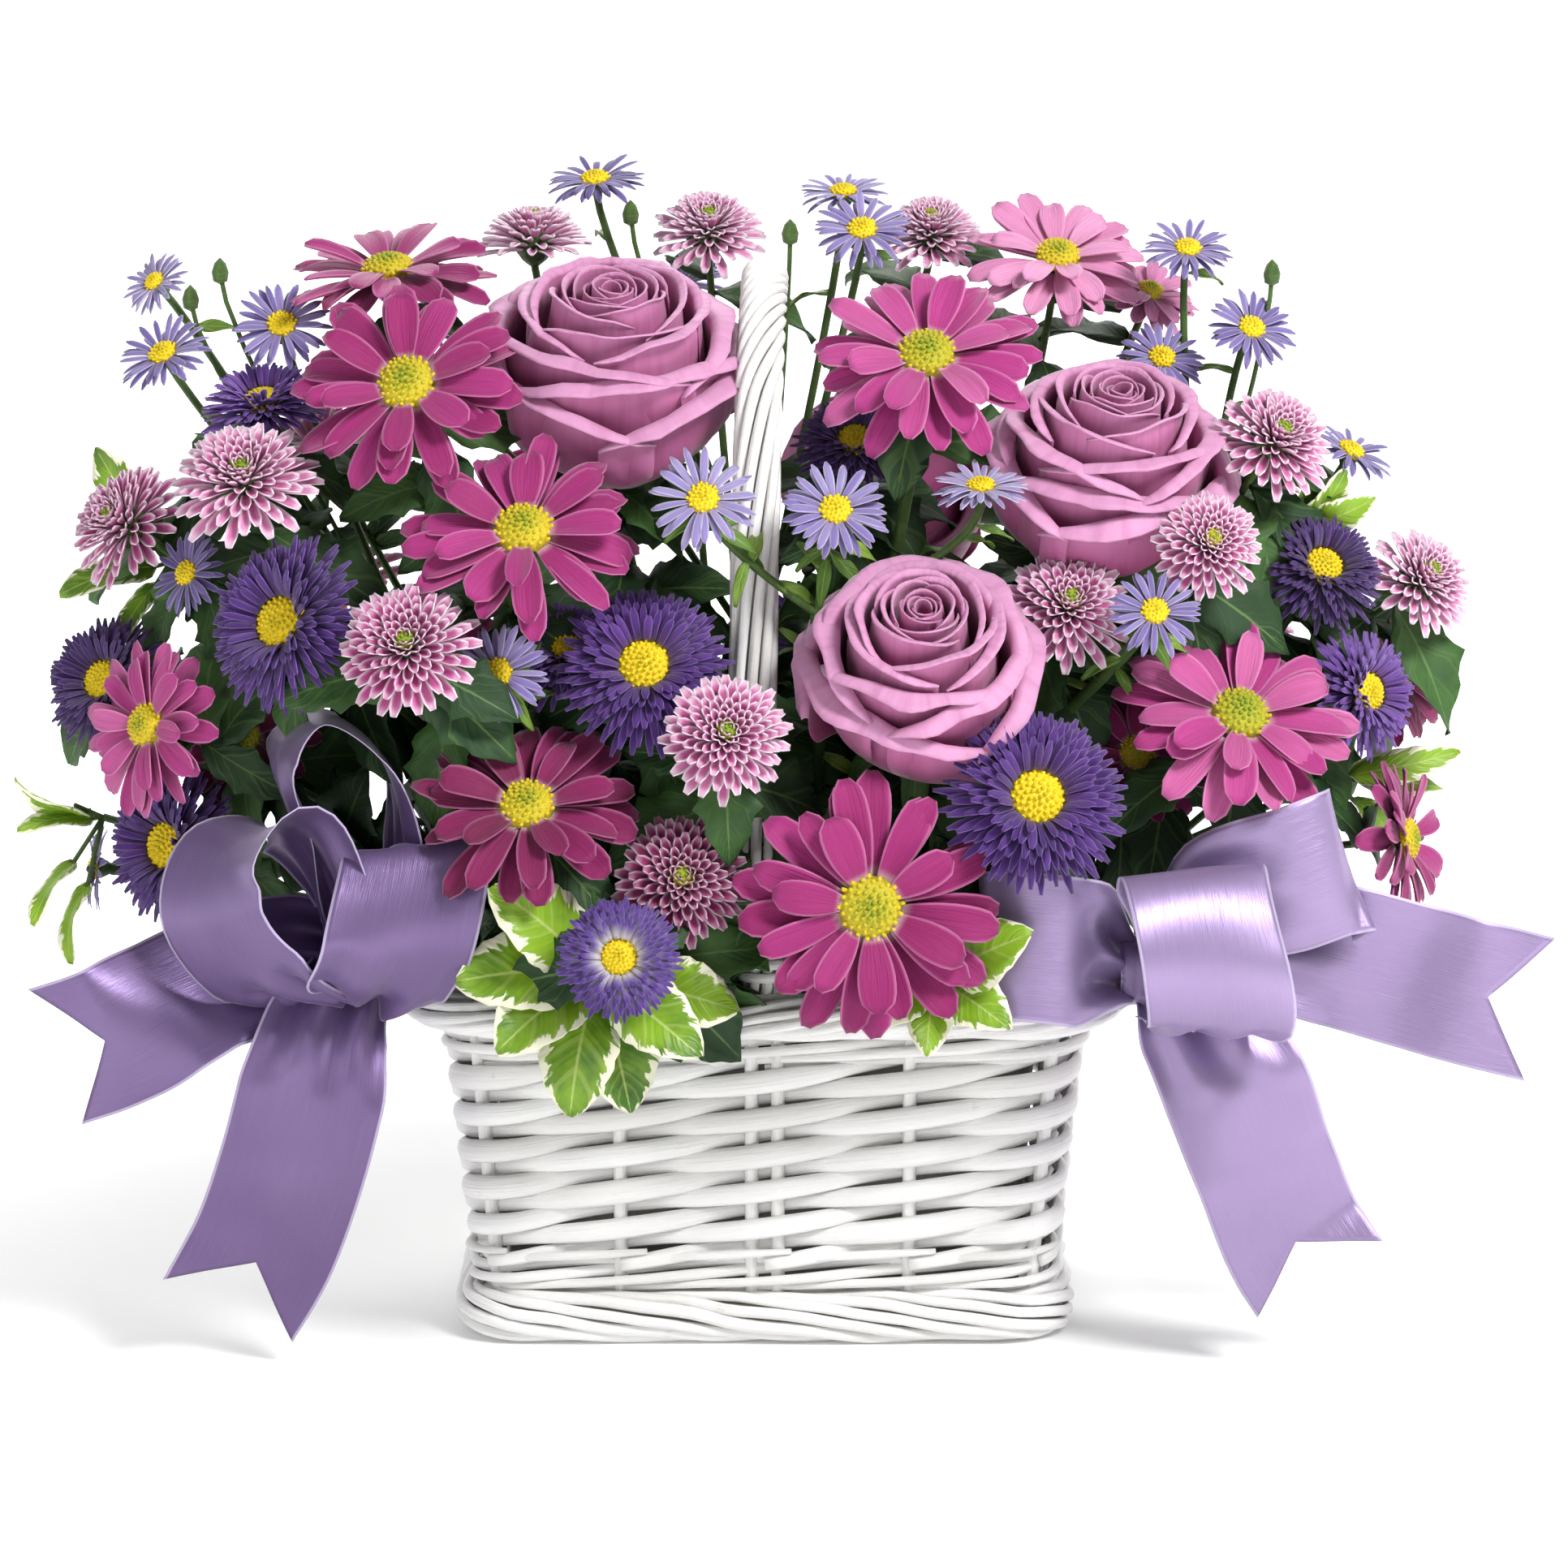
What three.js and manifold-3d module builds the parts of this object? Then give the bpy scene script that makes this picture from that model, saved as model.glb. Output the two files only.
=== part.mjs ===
// A flower basket arrangement: a small white willow basket with a hoop handle, filled with roses,
// daisy chrysanthemums, button chrysanthemums, China asters, small asters and cream-edged leaves,
// with a satin bow at each front corner. Millimetres, +Z up, -Y is the front, and the origin is the
// middle of the base. Every flower and sprig is one grown piece: a head, or several, on a stem that
// ends in a socket of the foam.
import * as THREE from "three";
import { mergeVertices } from "three/addons/utils/BufferGeometryUtils.js";
import Module from "manifold-3d";

const wasm = await Module();
wasm.setup();

// ---------------------------------------------------------------------------------- driving dimensions

const GAP = 0.3; // between two pieces that touch
const HOLE = GAP + 0.1; // round a stem, a leg or a wire in its hole

const FOOT = { halfX: 85.5, halfY: 62.5, innerX: 74, innerY: 51, bottom: 0, top: 15 };
const BASE = { thick: 8 };
const WALL = { halfX: 81.5, halfY: 58.5, flare: 6.5, thick: 9, bottom: FOOT.top + GAP, top: 88 };
const RIM = { halfX: 98, halfY: 75, innerX: 79, innerY: 56, bottom: WALL.top + GAP, top: 101 };
const CORNER = 20; // the plan's corner radius at the wall
const OUTER_CORNER = 22; // at the outside of the two borders
const INNER_CORNER = 12; // at their inside, and at the liner and the base
const BORDER_ROUND = 0.31; // a border's rounded edge over its height
const LINER = { halfX: 71, halfY: 48, flare: 5, thick: 1, bottom: BASE.thick + GAP, top: 94 };
const FOAM = { halfX: 66, halfY: 44, corner: 12, bottom: LINER.bottom + LINER.thick + GAP, top: 128 };
const HANDLE = {
  radius: 7,
  bottom: RIM.top + 1,
  footY: 61.5, // middle of the hoop where it meets the rim
  widestY: 66,
  widestZ: 165,
  shoulderY: 44,
  shoulderZ: 262,
  apex: 290,
  lean: 3, // the hoop bows a little to the left at mid height
  legRadius: 2.8,
  legBottomY: 57,
  legBottom: 45,
  legOverlap: 3, // how far a leg runs up inside the hoop
};

const RIBBON = { width: 40, thick: 1, notch: 15, steps: 8 };
const BOX = { underSide: 3, perQuad: 6 }; // the -Y group of a box's faces, and a quad's indices
const KNOT = { halfLength: 9, halfThick: 6 }; // the gathered middle of a bow
const WIRE = { radius: 1.1, loop: KNOT.halfThick + 1.1 + GAP };

const STEM = {
  thin: 1.1,
  thick: 1.8,
  rose: 2.6,
  neck: 16, // the straight length behind a head
  seat: 2, // how far it runs into the head
  forkAt: 0.45, // share of the way from the socket to the heads
  overlap: 0.04, // share of the main stem that a branch starts back along it
};
const SOCKET = { spreadX: 0.38, spreadY: 0.3, bottom: 104 }; // how the stems fan out of the foam
const LEAF = {
  thick: 1,
  share: 0.42, // a blade's width over its length
  belly: 0.45, // where the blade is widest, along its length
  petiole: 0.8,
  petioleInto: 0.15, // share of the blade that the petiole runs up
};
const WIRE_LEG = { fromSide: 20, fromFront: 16, rise: 6, behindRise: 2 }; // its end in the foam

// ------------------------------------------------------------------------------------------- finishes

const finish = (color, roughness = 0.7, metalness = 0) =>
  new THREE.MeshStandardMaterial({ color, roughness, metalness });

const FINISH = {
  willow: finish(0xe9e6dc, 0.6),
  liner: finish(0x2f3a30, 0.4),
  foam: finish(0x3f6b3c, 0.95),
  ribbon: finish(0xb79bd0, 0.35),
  wire: finish(0x3a5a36, 0.5, 0.4),
  rose: finish(0xc67f9c),
  daisy: finish(0xc2369a),
  button: finish(0xd98cc0),
  chinaAster: finish(0x5a2d86),
  smallAster: finish(0xa58fd2),
  leaf: finish(0x7f9a4c, 0.5),
};

// ------------------------------------------------------------------------------------- flower heads

// A head's half section, from its underside to its top, for a head of radius r whose petals lie at
// height 0.
const HEAD_PROFILE = {
  rose: (r) => [[0, -24], [0.6 * r, -15], [r, 0], [0.6 * r, 11], [0, 14]],
  daisy: (r) => [[0, -8], [r, -1.5], [r, 1.5], [0, 5]],
  button: (r) => [[0, -10], [r, -3], [0.95 * r, 3], [0.55 * r, 9], [0, 11]],
  chinaAster: (r) => [[0, -8], [r, -2], [r, 2], [0, 6]],
  smallAster: (r) => [[0, -6], [r, -0.8], [r, 0.8], [0, 3]],
};
const HEAD_SIDES = { rose: 11, daisy: 10, button: 8, chinaAster: 9, smallAster: 7 };

// Each spray: its kind and its heads as [x, y, z, pitch, yaw, radius]. Pitch is how far the head looks
// up, and yaw how far it turns from the front (-Y) towards +X, both in degrees. `root` is where its
// stem ends in the foam and `fork` where it branches, both only where they are set by hand.
const FRONT_SPRAYS = {
  rose_left: { kind: "rose", heads: [[-42, -30, 278, 55, 0, 32]] },
  rose_right: { kind: "rose", heads: [[95, -45, 252, 48, 15, 31]] },
  rose_middle: { kind: "rose", root: [24, -26, 104], heads: [[42, -88, 199, 28, 5, 31]] },
  daisy_left_high: { kind: "daisy", fork: [-78, -44, 190], heads: [[-64, -78, 229, 46, 0, 30]] },
  daisy_left_top: {
    kind: "daisy",
    heads: [[-96, -56, 266, 35, -12, 28], [-104, -12, 293, 75, -10, 29]],
  },
  daisy_low_left: { kind: "daisy", heads: [[-63, -92, 157, 45, 0, 28]] },
  daisy_low_middle: { kind: "daisy", heads: [[28, -108, 133, 8, 5, 36]] },
  daisy_high_middle: { kind: "daisy", heads: [[44, -48, 273, 45, 0, 31]] },
  daisy_top_right: {
    kind: "daisy",
    heads: [[82, 10, 295, 55, 5, 25], [108, 12, 285, 60, 30, 15]],
  },
  daisy_right: {
    kind: "daisy",
    root: [50, -20, 104],
    heads: [[128, -70, 178, 45, 15, 31], [102, -50, 164, 30, 0, 18]],
  },
  daisy_far_left: {
    kind: "daisy",
    root: [-50, -20, 104],
    heads: [[-167, -62, 174, 15, -40, 25], [-144, -34, 166, 20, -10, 18]],
  },
  daisy_far_right: {
    kind: "daisy",
    root: [56, -6, 102],
    heads: [[177, -36, 138, 10, 70, 24], [176, -10, 180, 25, 50, 19]],
  },
  button_left: {
    kind: "button",
    root: [-44, -4, 104],
    heads: [[-140, -60, 241, 45, -5, 20], [-176, -35, 226, 30, -45, 19]],
  },
  button_front_left: { kind: "button", heads: [[-94, -98, 201, 30, -5, 17]] },
  button_front_middle: {
    kind: "button",
    heads: [[-10, -102, 178, 25, 5, 17], [-22, -94, 138, 20, 5, 17]],
  },
  button_front_right: { kind: "button", root: [30, -20, 104], heads: [[82, -64, 207, 35, 5, 18]] },
  button_right: {
    kind: "button",
    root: [50, -10, 104],
    heads: [[139, -45, 250, 40, 25, 18], [119, -72, 225, 25, 10, 14], [182, -25, 209, 35, 35, 17]],
  },
  button_top: {
    kind: "button",
    heads: [[-65, 15, 301, 85, 0, 17], [-16, 28, 302, 55, 0, 16], [47, 30, 301, 60, 0, 16]],
  },
  china_aster_left: {
    kind: "chinaAster",
    heads: [[-129, -75, 204, 20, -35, 21], [-138, -26, 258, 70, -20, 14]],
  },
  china_aster_middle: {
    kind: "chinaAster",
    heads: [[-32, -80, 193, 30, 0, 21], [-54, -60, 194, 50, 0, 13]],
  },
  china_aster_front_right: {
    kind: "chinaAster",
    root: [36, -30, 104],
    heads: [[72, -101, 161, 25, 10, 20]],
  },
  china_aster_far_left: {
    kind: "chinaAster",
    root: [-56, -26, 104],
    heads: [[-164, -46, 138, 10, -40, 19], [-182, -35, 182, 25, -30, 18]],
  },
  china_aster_low_front: { kind: "chinaAster", heads: [[-38, -116, 121, 20, 0, 15]] },
  china_aster_right: {
    kind: "chinaAster",
    root: [56, -16, 104],
    heads: [[165, -42, 180, 15, 45, 15], [153, -38, 214, 40, 20, 15]],
  },
  china_aster_high_middle: { kind: "chinaAster", heads: [[25, -25, 247, 50, 0, 15]] },
  small_aster_left: {
    kind: "smallAster",
    root: [-46, 4, 104],
    heads: [
      [-167, -10, 270, 50, -30, 14],
      [-133, -20, 279, 40, 0, 13],
      [-170, 0, 289, 40, -40, 9],
      [-157, -50, 214, 20, -40, 11],
    ],
  },
  small_aster_middle: {
    kind: "smallAster",
    root: [16, -20, 104],
    fork: [14, -72, 206],
    heads: [[-16, -88, 239, 35, 0, 14], [19, -80, 235, 35, 5, 14], [58, -70, 240, 70, 0, 12]],
  },
  small_aster_front_right: {
    kind: "smallAster",
    root: [44, -14, 104],
    fork: [80, -52, 174],
    heads: [[104, -82, 208, 35, 10, 12]],
  },
  small_aster_front_left: { kind: "smallAster", heads: [[-71, -85, 192, 20, -5, 12]] },
  small_aster_top: {
    kind: "smallAster",
    heads: [[27, -5, 304, 50, 0, 13], [22, 15, 313, 75, 0, 11], [-48, 25, 316, 70, -10, 12]],
  },
  small_aster_right: {
    kind: "smallAster",
    root: [46, 2, 104],
    fork: [120, -22, 208],
    heads: [
      [117, -10, 299, 60, 10, 12],
      [134, -20, 278, 45, 20, 13],
      [110, -12, 269, 45, 10, 11],
      [162, -20, 244, 60, 50, 12],
    ],
  },
  small_aster_far_left: {
    kind: "smallAster",
    root: [-56, 2, 100],
    heads: [[-188, -16, 126, 5, -85, 11]],
  },
};

const BACK_SPRAYS = {
  rose_back: { kind: "rose", root: [10, 26, 104], heads: [[38, 72, 236, 35, 178, 30]] },
  daisy_back_left: {
    kind: "daisy",
    heads: [[-52, 72, 234, 40, 195, 30], [-100, 82, 160, 25, 205, 30]],
  },
  daisy_back_right: {
    kind: "daisy",
    heads: [[97, 58, 232, 40, 155, 27], [98, 84, 158, 25, 155, 30]],
  },
  button_back_left: {
    kind: "button",
    heads: [[-130, 35, 240, 45, 230, 19], [-125, 68, 198, 35, 215, 18]],
  },
  button_back_right: {
    kind: "button",
    heads: [[138, 30, 232, 45, 130, 19], [140, 60, 186, 35, 140, 18]],
  },
  china_aster_back: {
    kind: "chinaAster",
    root: [22, 12, 104],
    fork: [14, 82, 128],
    heads: [[16, 96, 172, 25, 180, 23], [-48, 100, 138, 15, 185, 19], [50, 100, 138, 15, 175, 19]],
  },
  small_aster_back: {
    kind: "smallAster",
    heads: [[-25, 64, 284, 55, 190, 13], [52, 58, 276, 55, 170, 13], [-100, 52, 270, 60, 215, 12]],
  },
};

// Each sprig: its fork, the way its leaves face as [pitch, yaw], and its leaves as
// [tip x, y, z, blade length].
const SPRIGS = {
  leaves_front_left: {
    fork: [-45, -90, 112],
    face: [20, 0],
    leaves: [
      [-72, -104, 138, 28],
      [-82, -98, 111, 31],
      [-71, -108, 94, 28],
      [-52, -102, 75, 28],
      [-36, -98, 75, 26],
      [-17, -106, 92, 26],
      [-7, -98, 103, 24],
    ],
  },
  leaves_front_right: {
    fork: [46, -86, 109],
    face: [20, 10],
    leaves: [[71, -104, 125, 24], [65, -104, 99, 22], [43, -100, 91, 18], [28, -98, 100, 18]],
  },
  leaves_far_left: {
    root: [-56, -8, 102],
    fork: [-184, -30, 143],
    face: [20, -40],
    leaves: [
      [-205, -50, 157, 24],
      [-206, -44, 142, 20],
      [-201, -54, 117, 20],
      [-192, -46, 105, 20],
    ],
  },
  leaves_high_left: {
    root: [-50, 10, 104],
    fork: [-166, -12, 212],
    face: [20, -30],
    leaves: [[-186, -10, 244, 28], [-196, -20, 204, 24], [-180, -22, 190, 18]],
  },
  leaves_high_right: {
    root: [52, -2, 104],
    fork: [146, -24, 222],
    face: [20, 30],
    leaves: [[160, -30, 240, 18], [168, -30, 232, 18], [150, -28, 244, 16]],
  },
  leaves_far_right: {
    root: [56, 6, 102],
    fork: [160, -8, 150],
    face: [20, 50],
    leaves: [[196, -5, 157, 28], [192, 2, 145, 24], [180, 6, 128, 20]],
  },
  leaves_back_left: {
    root: [-34, 28, 104],
    fork: [-70, 74, 130],
    face: [20, 200],
    leaves: [[-90, 92, 110, 26], [-60, 98, 104, 26], [-112, 84, 128, 30], [-40, 92, 116, 24]],
  },
  leaves_back_right: {
    root: [34, 28, 104],
    fork: [72, 74, 130],
    face: [20, 160],
    leaves: [[90, 92, 110, 26], [60, 98, 104, 26], [114, 84, 128, 30], [34, 92, 116, 24]],
  },
};

// ------------------------------------------------------------------------------------- ribbon bows

// A bow: its gathered middle, and its strips as stations
// [x, y, z, the way across the ribbon as x, y, z, share of the ribbon's width].
const BOWS = {
  left_bow: {
    knot: [-108, -72, 110],
    loops: {
      upper: [
        [-113, -70, 111, -0.1, 0.9, 0.2, 0.3],
        [-125, -72, 146, -0.35, 0.9, 0.2, 0.8],
        [-131, -72, 168, -0.45, 0.85, 0.25, 1],
        [-119, -70, 179, -0.45, 0.85, 0.25, 1],
        [-104, -69, 168, -0.45, 0.85, 0.25, 1],
        [-98, -70, 144, -0.35, 0.9, 0.2, 0.8],
        [-102, -71, 114, 0, 0.9, 0.3, 0.3],
      ],
      outer: [
        [-114, -74, 111, -0.2, 0.9, 0.1, 0.3],
        [-119, -80, 136, -0.6, 0.75, -0.1, 0.7],
        [-130, -86, 151, -0.75, 0.6, -0.25, 1],
        [-144, -90, 142, -0.75, 0.6, -0.25, 1],
        [-146, -92, 126, -0.75, 0.6, -0.25, 1],
        [-134, -88, 114, -0.6, 0.6, -0.4, 0.8],
        [-114, -74, 107, -0.2, 0.9, -0.2, 0.3],
      ],
      inner: [
        [-106, -76, 100, 0.6, 0.3, -0.5, 0.3],
        [-104, -92, 108, 0.93, 0.1, -0.1, 0.8],
        [-98, -101, 120, 0.93, 0.1, 0.2, 1],
        [-94, -100, 134, 0.93, 0.1, 0.25, 1],
        [-92, -91, 147, 0.93, 0.1, 0.2, 1],
        [-95, -79, 142, 0.85, 0.1, 0.2, 0.8],
        [-101, -71, 113, 0.2, 0.3, 0.4, 0.25],
      ],
    },
    tails: {
      side: [
        [-114, -72, 111, 0.3, -0.2, -0.9, 0.4],
        [-127, -70, 112, 0.45, -0.2, -0.85, 0.9],
        [-148, -73, 107, 0.6, -0.4, -0.65, 1],
        [-161, -78, 100, 0.47, -0.4, -0.77, 1],
        [-176, -82, 92, 0.41, 0, -0.91, 1],
        [-192, -80, 86, 0.49, 0, -0.87, 1],
      ],
      down: [
        [-116, -73, 107, 0.9, 0.2, 0, 0.25],
        [-121, -80, 97, 1, 0.05, 0, 0.6],
        [-124, -85, 78, 1, 0, 0.03, 1],
        [-128, -85, 56, 1, 0, -0.1, 1],
        [-135, -84, 34, 1, 0, -0.1, 1],
        [-145, -84, 16, 0.96, 0.19, -0.19, 1],
      ],
    },
  },
  right_bow: {
    knot: [103, -75, 109],
    loops: {
      inner: [
        [97, -77, 111, 0, 0.3, 0.9, 0.3],
        [88, -90, 119, 0, 0.1, 1, 0.9],
        [72, -93, 120, 0, 0.05, 1, 1],
        [58, -88, 119, 0, 0.05, 1, 1],
        [62, -80, 118, 0, 0.05, 1, 1],
        [80, -77, 114, 0, 0.1, 1, 0.8],
        [97, -74, 109, 0, 0.3, 0.9, 0.3],
      ],
      front: [
        [111, -77, 114, 0.9, 0.3, 0.1, 0.25],
        [114, -87, 136, 0.95, 0.3, 0, 0.85],
        [114, -99, 141, 0.95, 0.3, 0, 1],
        [116, -109, 133, 0.95, 0.3, -0.05, 1],
        [119, -112, 117, 0.95, 0.28, -0.1, 1],
        [120, -104, 101, 0.95, 0.25, -0.15, 1],
        [112, -79, 104, 0.9, 0.2, 0, 0.3],
      ],
      outer: [
        [110, -75, 112, -0.2, 0.2, 0.9, 0.3],
        [124, -84, 130, -0.25, 0.1, 0.96, 0.8],
        [142, -86, 135.5, -0.24, 0, 0.97, 1],
        [155, -82, 140, -0.24, 0, 0.97, 1],
        [158, -74, 139, -0.24, 0, 0.97, 1],
        [148, -66, 131, -0.2, 0.1, 0.97, 0.9],
        [110, -71, 110, -0.1, 0.3, 0.9, 0.3],
      ],
    },
    tails: {
      side: [
        [110, -75, 110, -0.1, -0.3, -0.9, 0.35],
        [138, -68, 117, -0.1, -0.3, -0.95, 0.9],
        [157, -71, 113, -0.1, 0, -1, 1],
        [174, -70, 107, -0.18, 0, -0.98, 1],
        [190, -73, 103, -0.1, 0, -0.99, 1],
        [211, -70, 97, -0.16, -0.28, -0.95, 1],
      ],
      down: [
        [113, -76, 107, 0.9, 0.2, 0.1, 0.25],
        [118, -81, 98, 0.98, 0.05, 0.15, 0.6],
        [127, -86, 80, 0.99, 0, 0.17, 1],
        [135, -85, 58, 0.94, 0.25, 0.17, 1],
        [143, -83, 38, 0.93, 0.2, 0.28, 1],
        [151, -84, 25, 0.92, 0, 0.4, 1],
      ],
    },
  },
};

// ------------------------------------------------------------------------------------- solids and meshes

const vec = (x, y, z) => new THREE.Vector3(x, y, z);

function toSolid(geometry) {
  const bare = geometry.clone();
  bare.deleteAttribute("normal");
  bare.deleteAttribute("uv");
  const merged = mergeVertices(bare, 1e-4);
  return new wasm.Manifold(
    new wasm.Mesh({
      numProp: 3,
      vertProperties: new Float32Array(merged.attributes.position.array),
      triVerts: new Uint32Array(merged.index.array),
    }),
  );
}

function toGeometry(solid) {
  const mesh = solid.getMesh();
  const geometry = new THREE.BufferGeometry();
  geometry.setAttribute("position", new THREE.BufferAttribute(mesh.vertProperties, 3));
  geometry.setIndex(new THREE.BufferAttribute(mesh.triVerts, 1));
  geometry.computeVertexNormals();
  return geometry;
}

const arrangement = new THREE.Group();
arrangement.name = "flower_basket_arrangement";

function addPiece(name, solid, material) {
  const mesh = new THREE.Mesh(toGeometry(solid), material);
  mesh.name = name;
  arrangement.add(mesh);
}

const joined = (solids) => solids.reduce((whole, solid) => whole.add(solid));

// A round bar along a path.
function bar(path, radius, steps = 1, sides = 4) {
  const corners = [];
  for (let i = 0; i < sides; i += 1) {
    const angle = (2 * Math.PI * i) / sides;
    corners.push(new THREE.Vector2(radius * Math.cos(angle), radius * Math.sin(angle)));
  }
  return toSolid(new THREE.ExtrudeGeometry(new THREE.Shape(corners), { steps, extrudePath: path }));
}

// A straight bar, `grow` wider and that much longer at its start, for the hole that takes it.
function straightBar(from, to, radius, grow = 0, sides = 4) {
  const start = from.clone().add(from.clone().sub(to).setLength(grow));
  return bar(new THREE.LineCurve3(start, to), radius + grow, 1, sides);
}

// ------------------------------------------------------------------------------------------------ basket

// A rounded rectangle, the plan of the basket and of what is inside it.
function roundedPlan(halfX, halfY, radius, Kind = THREE.Shape) {
  const plan = new Kind();
  const x = halfX - radius;
  const y = halfY - radius;
  plan.moveTo(halfX, -y);
  plan.absarc(x, y, radius, 0, Math.PI / 2, false);
  plan.absarc(-x, y, radius, Math.PI / 2, Math.PI, false);
  plan.absarc(-x, -y, radius, Math.PI, 1.5 * Math.PI, false);
  plan.absarc(x, -y, radius, 1.5 * Math.PI, 2 * Math.PI, false);
  return plan;
}

// A block with that plan whose sides lean out by `flare` from its bottom to its top.
function flaredBlock({ halfX, halfY, radius, flare, bottom, top }) {
  const geometry = new THREE.ExtrudeGeometry(roundedPlan(halfX, halfY, radius), {
    depth: top - bottom,
    bevelEnabled: false,
    curveSegments: 2,
  });
  const position = geometry.attributes.position;
  for (let i = 0; i < position.count; i += 1) {
    const x = position.getX(i);
    const y = position.getY(i);
    const share = position.getZ(i) / (top - bottom);
    const coreX = THREE.MathUtils.clamp(x, radius - halfX, halfX - radius);
    const coreY = THREE.MathUtils.clamp(y, radius - halfY, halfY - radius);
    const outward = 1 + (flare * share) / radius;
    position.setX(i, coreX + (x - coreX) * outward);
    position.setY(i, coreY + (y - coreY) * outward);
    position.setZ(i, bottom + position.getZ(i));
  }
  return toSolid(geometry);
}

// A cup: a flared block less a smaller one that starts `floor` above its bottom. A negative `floor`
// leaves it open below.
function flaredShell({ halfX, halfY, flare, thick, bottom, top }, radius, floor) {
  const outside = flaredBlock({ halfX, halfY, radius, flare, bottom, top });
  const climb = flare / (top - bottom);
  const inside = flaredBlock({
    halfX: halfX - thick + climb * floor,
    halfY: halfY - thick + climb * floor,
    radius: radius - thick,
    flare: flare + climb * (1 - floor),
    bottom: bottom + floor,
    top: top + 1,
  });
  return outside.subtract(inside);
}

// A plaited border: a ring of the plan with rounded edges.
function border({ halfX, halfY, innerX, innerY, bottom, top }) {
  const round = BORDER_ROUND * (top - bottom);
  const outline = roundedPlan(halfX - round, halfY - round, OUTER_CORNER - round);
  const inside = roundedPlan(innerX + round, innerY + round, INNER_CORNER + round, THREE.Path);
  outline.holes.push(inside);
  const geometry = new THREE.ExtrudeGeometry(outline, {
    depth: top - bottom - 2 * round,
    bevelThickness: round,
    bevelSize: round,
    bevelSegments: 1,
    curveSegments: 2,
  });
  geometry.translate(0, 0, bottom + round);
  return toSolid(geometry);
}

function basePanel() {
  return flaredBlock({
    halfX: FOOT.innerX - GAP,
    halfY: FOOT.innerY - GAP,
    radius: INNER_CORNER - GAP,
    flare: 0,
    bottom: FOOT.bottom,
    top: BASE.thick,
  });
}

// The hoop, from the front of the rim over the flowers to the back.
function hoop() {
  const side = (sign) => [
    vec(0, sign * HANDLE.footY, HANDLE.bottom),
    vec(-HANDLE.lean, sign * HANDLE.widestY, HANDLE.widestZ),
    vec(-HANDLE.lean / 2, sign * HANDLE.shoulderY, HANDLE.shoulderZ),
  ];
  const middle = [vec(0, 0, HANDLE.apex)];
  const path = new THREE.CatmullRomCurve3([...side(-1), ...middle, ...side(1).reverse()]);
  return bar(path, HANDLE.radius, 24, 8);
}

// One leg of the handle, which stands in the rim and the wall. `grow` makes the hole for it.
function handleLeg(sign, grow = 0) {
  const bottom = vec(0, sign * HANDLE.legBottomY, HANDLE.legBottom);
  const top = vec(0, sign * HANDLE.footY, HANDLE.bottom + HANDLE.legOverlap);
  return straightBar(bottom, top, HANDLE.legRadius, grow, 6);
}

const legHoles = joined([handleLeg(-1, HOLE), handleLeg(1, HOLE)]);

// ------------------------------------------------------------------------------------------------ flowers

function facing(pitch, yaw) {
  const up = THREE.MathUtils.degToRad(pitch);
  const turn = THREE.MathUtils.degToRad(yaw);
  return vec(Math.sin(turn) * Math.cos(up), -Math.cos(turn) * Math.cos(up), Math.sin(up));
}

function headSolid(kind, [x, y, z, pitch, yaw, radius]) {
  const section = HEAD_PROFILE[kind](radius);
  const profile = section.map(([across, along]) => new THREE.Vector2(across, along));
  const geometry = new THREE.LatheGeometry(profile, HEAD_SIDES[kind]);
  const turn = new THREE.Quaternion().setFromUnitVectors(vec(0, 1, 0), facing(pitch, yaw));
  geometry.applyQuaternion(turn);
  geometry.translate(x, y, z);
  return toSolid(geometry);
}

// The end of a head's stem, a little inside its underside.
function headSeat(kind, [x, y, z, pitch, yaw, radius]) {
  const depth = -HEAD_PROFILE[kind](radius)[0][1] - STEM.seat;
  return vec(x, y, z).addScaledVector(facing(pitch, yaw), -depth);
}

const middleOf = (points) =>
  points.reduce((sum, point) => sum.add(point), vec(0, 0, 0)).divideScalar(points.length);

// The main stem of a spray, from its socket in the foam to where it forks.
function mainStem({ kind, heads, root, fork }) {
  const seats = middleOf(heads.map((head) => headSeat(kind, head)));
  const start = root
    ? vec(...root)
    : vec(seats.x * SOCKET.spreadX, seats.y * SOCKET.spreadY, SOCKET.bottom);
  const end = fork ? vec(...fork) : start.clone().lerp(seats, STEM.forkAt);
  return { start, end, radius: kind === "rose" ? STEM.rose : STEM.thick };
}

function spraySolid(spray) {
  const { start, end, radius } = mainStem(spray);
  const branchRadius = spray.heads.length > 1 ? STEM.thin : radius;
  const pieces = [straightBar(start, end, radius)];
  for (const head of spray.heads) {
    const seat = headSeat(spray.kind, head);
    const neck = seat.clone().addScaledVector(facing(head[3], head[4]), -STEM.neck);
    const from = end.clone().lerp(start, STEM.overlap);
    pieces.push(bar(new THREE.QuadraticBezierCurve3(from, neck, seat), branchRadius, 3));
    pieces.push(headSolid(spray.kind, head));
  }
  return joined(pieces);
}

// ------------------------------------------------------------------------------------------------ leaves

function leafBlade(length) {
  const outline = new THREE.Shape();
  const width = LEAF.share * length;
  outline.moveTo(0, 0);
  outline.quadraticCurveTo(width, LEAF.belly * length, 0, length);
  outline.quadraticCurveTo(-width, LEAF.belly * length, 0, 0);
  const geometry = new THREE.ExtrudeGeometry(outline, {
    depth: LEAF.thick,
    bevelEnabled: false,
    curveSegments: 3,
  });
  geometry.translate(0, 0, -LEAF.thick / 2);
  return geometry;
}

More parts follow.
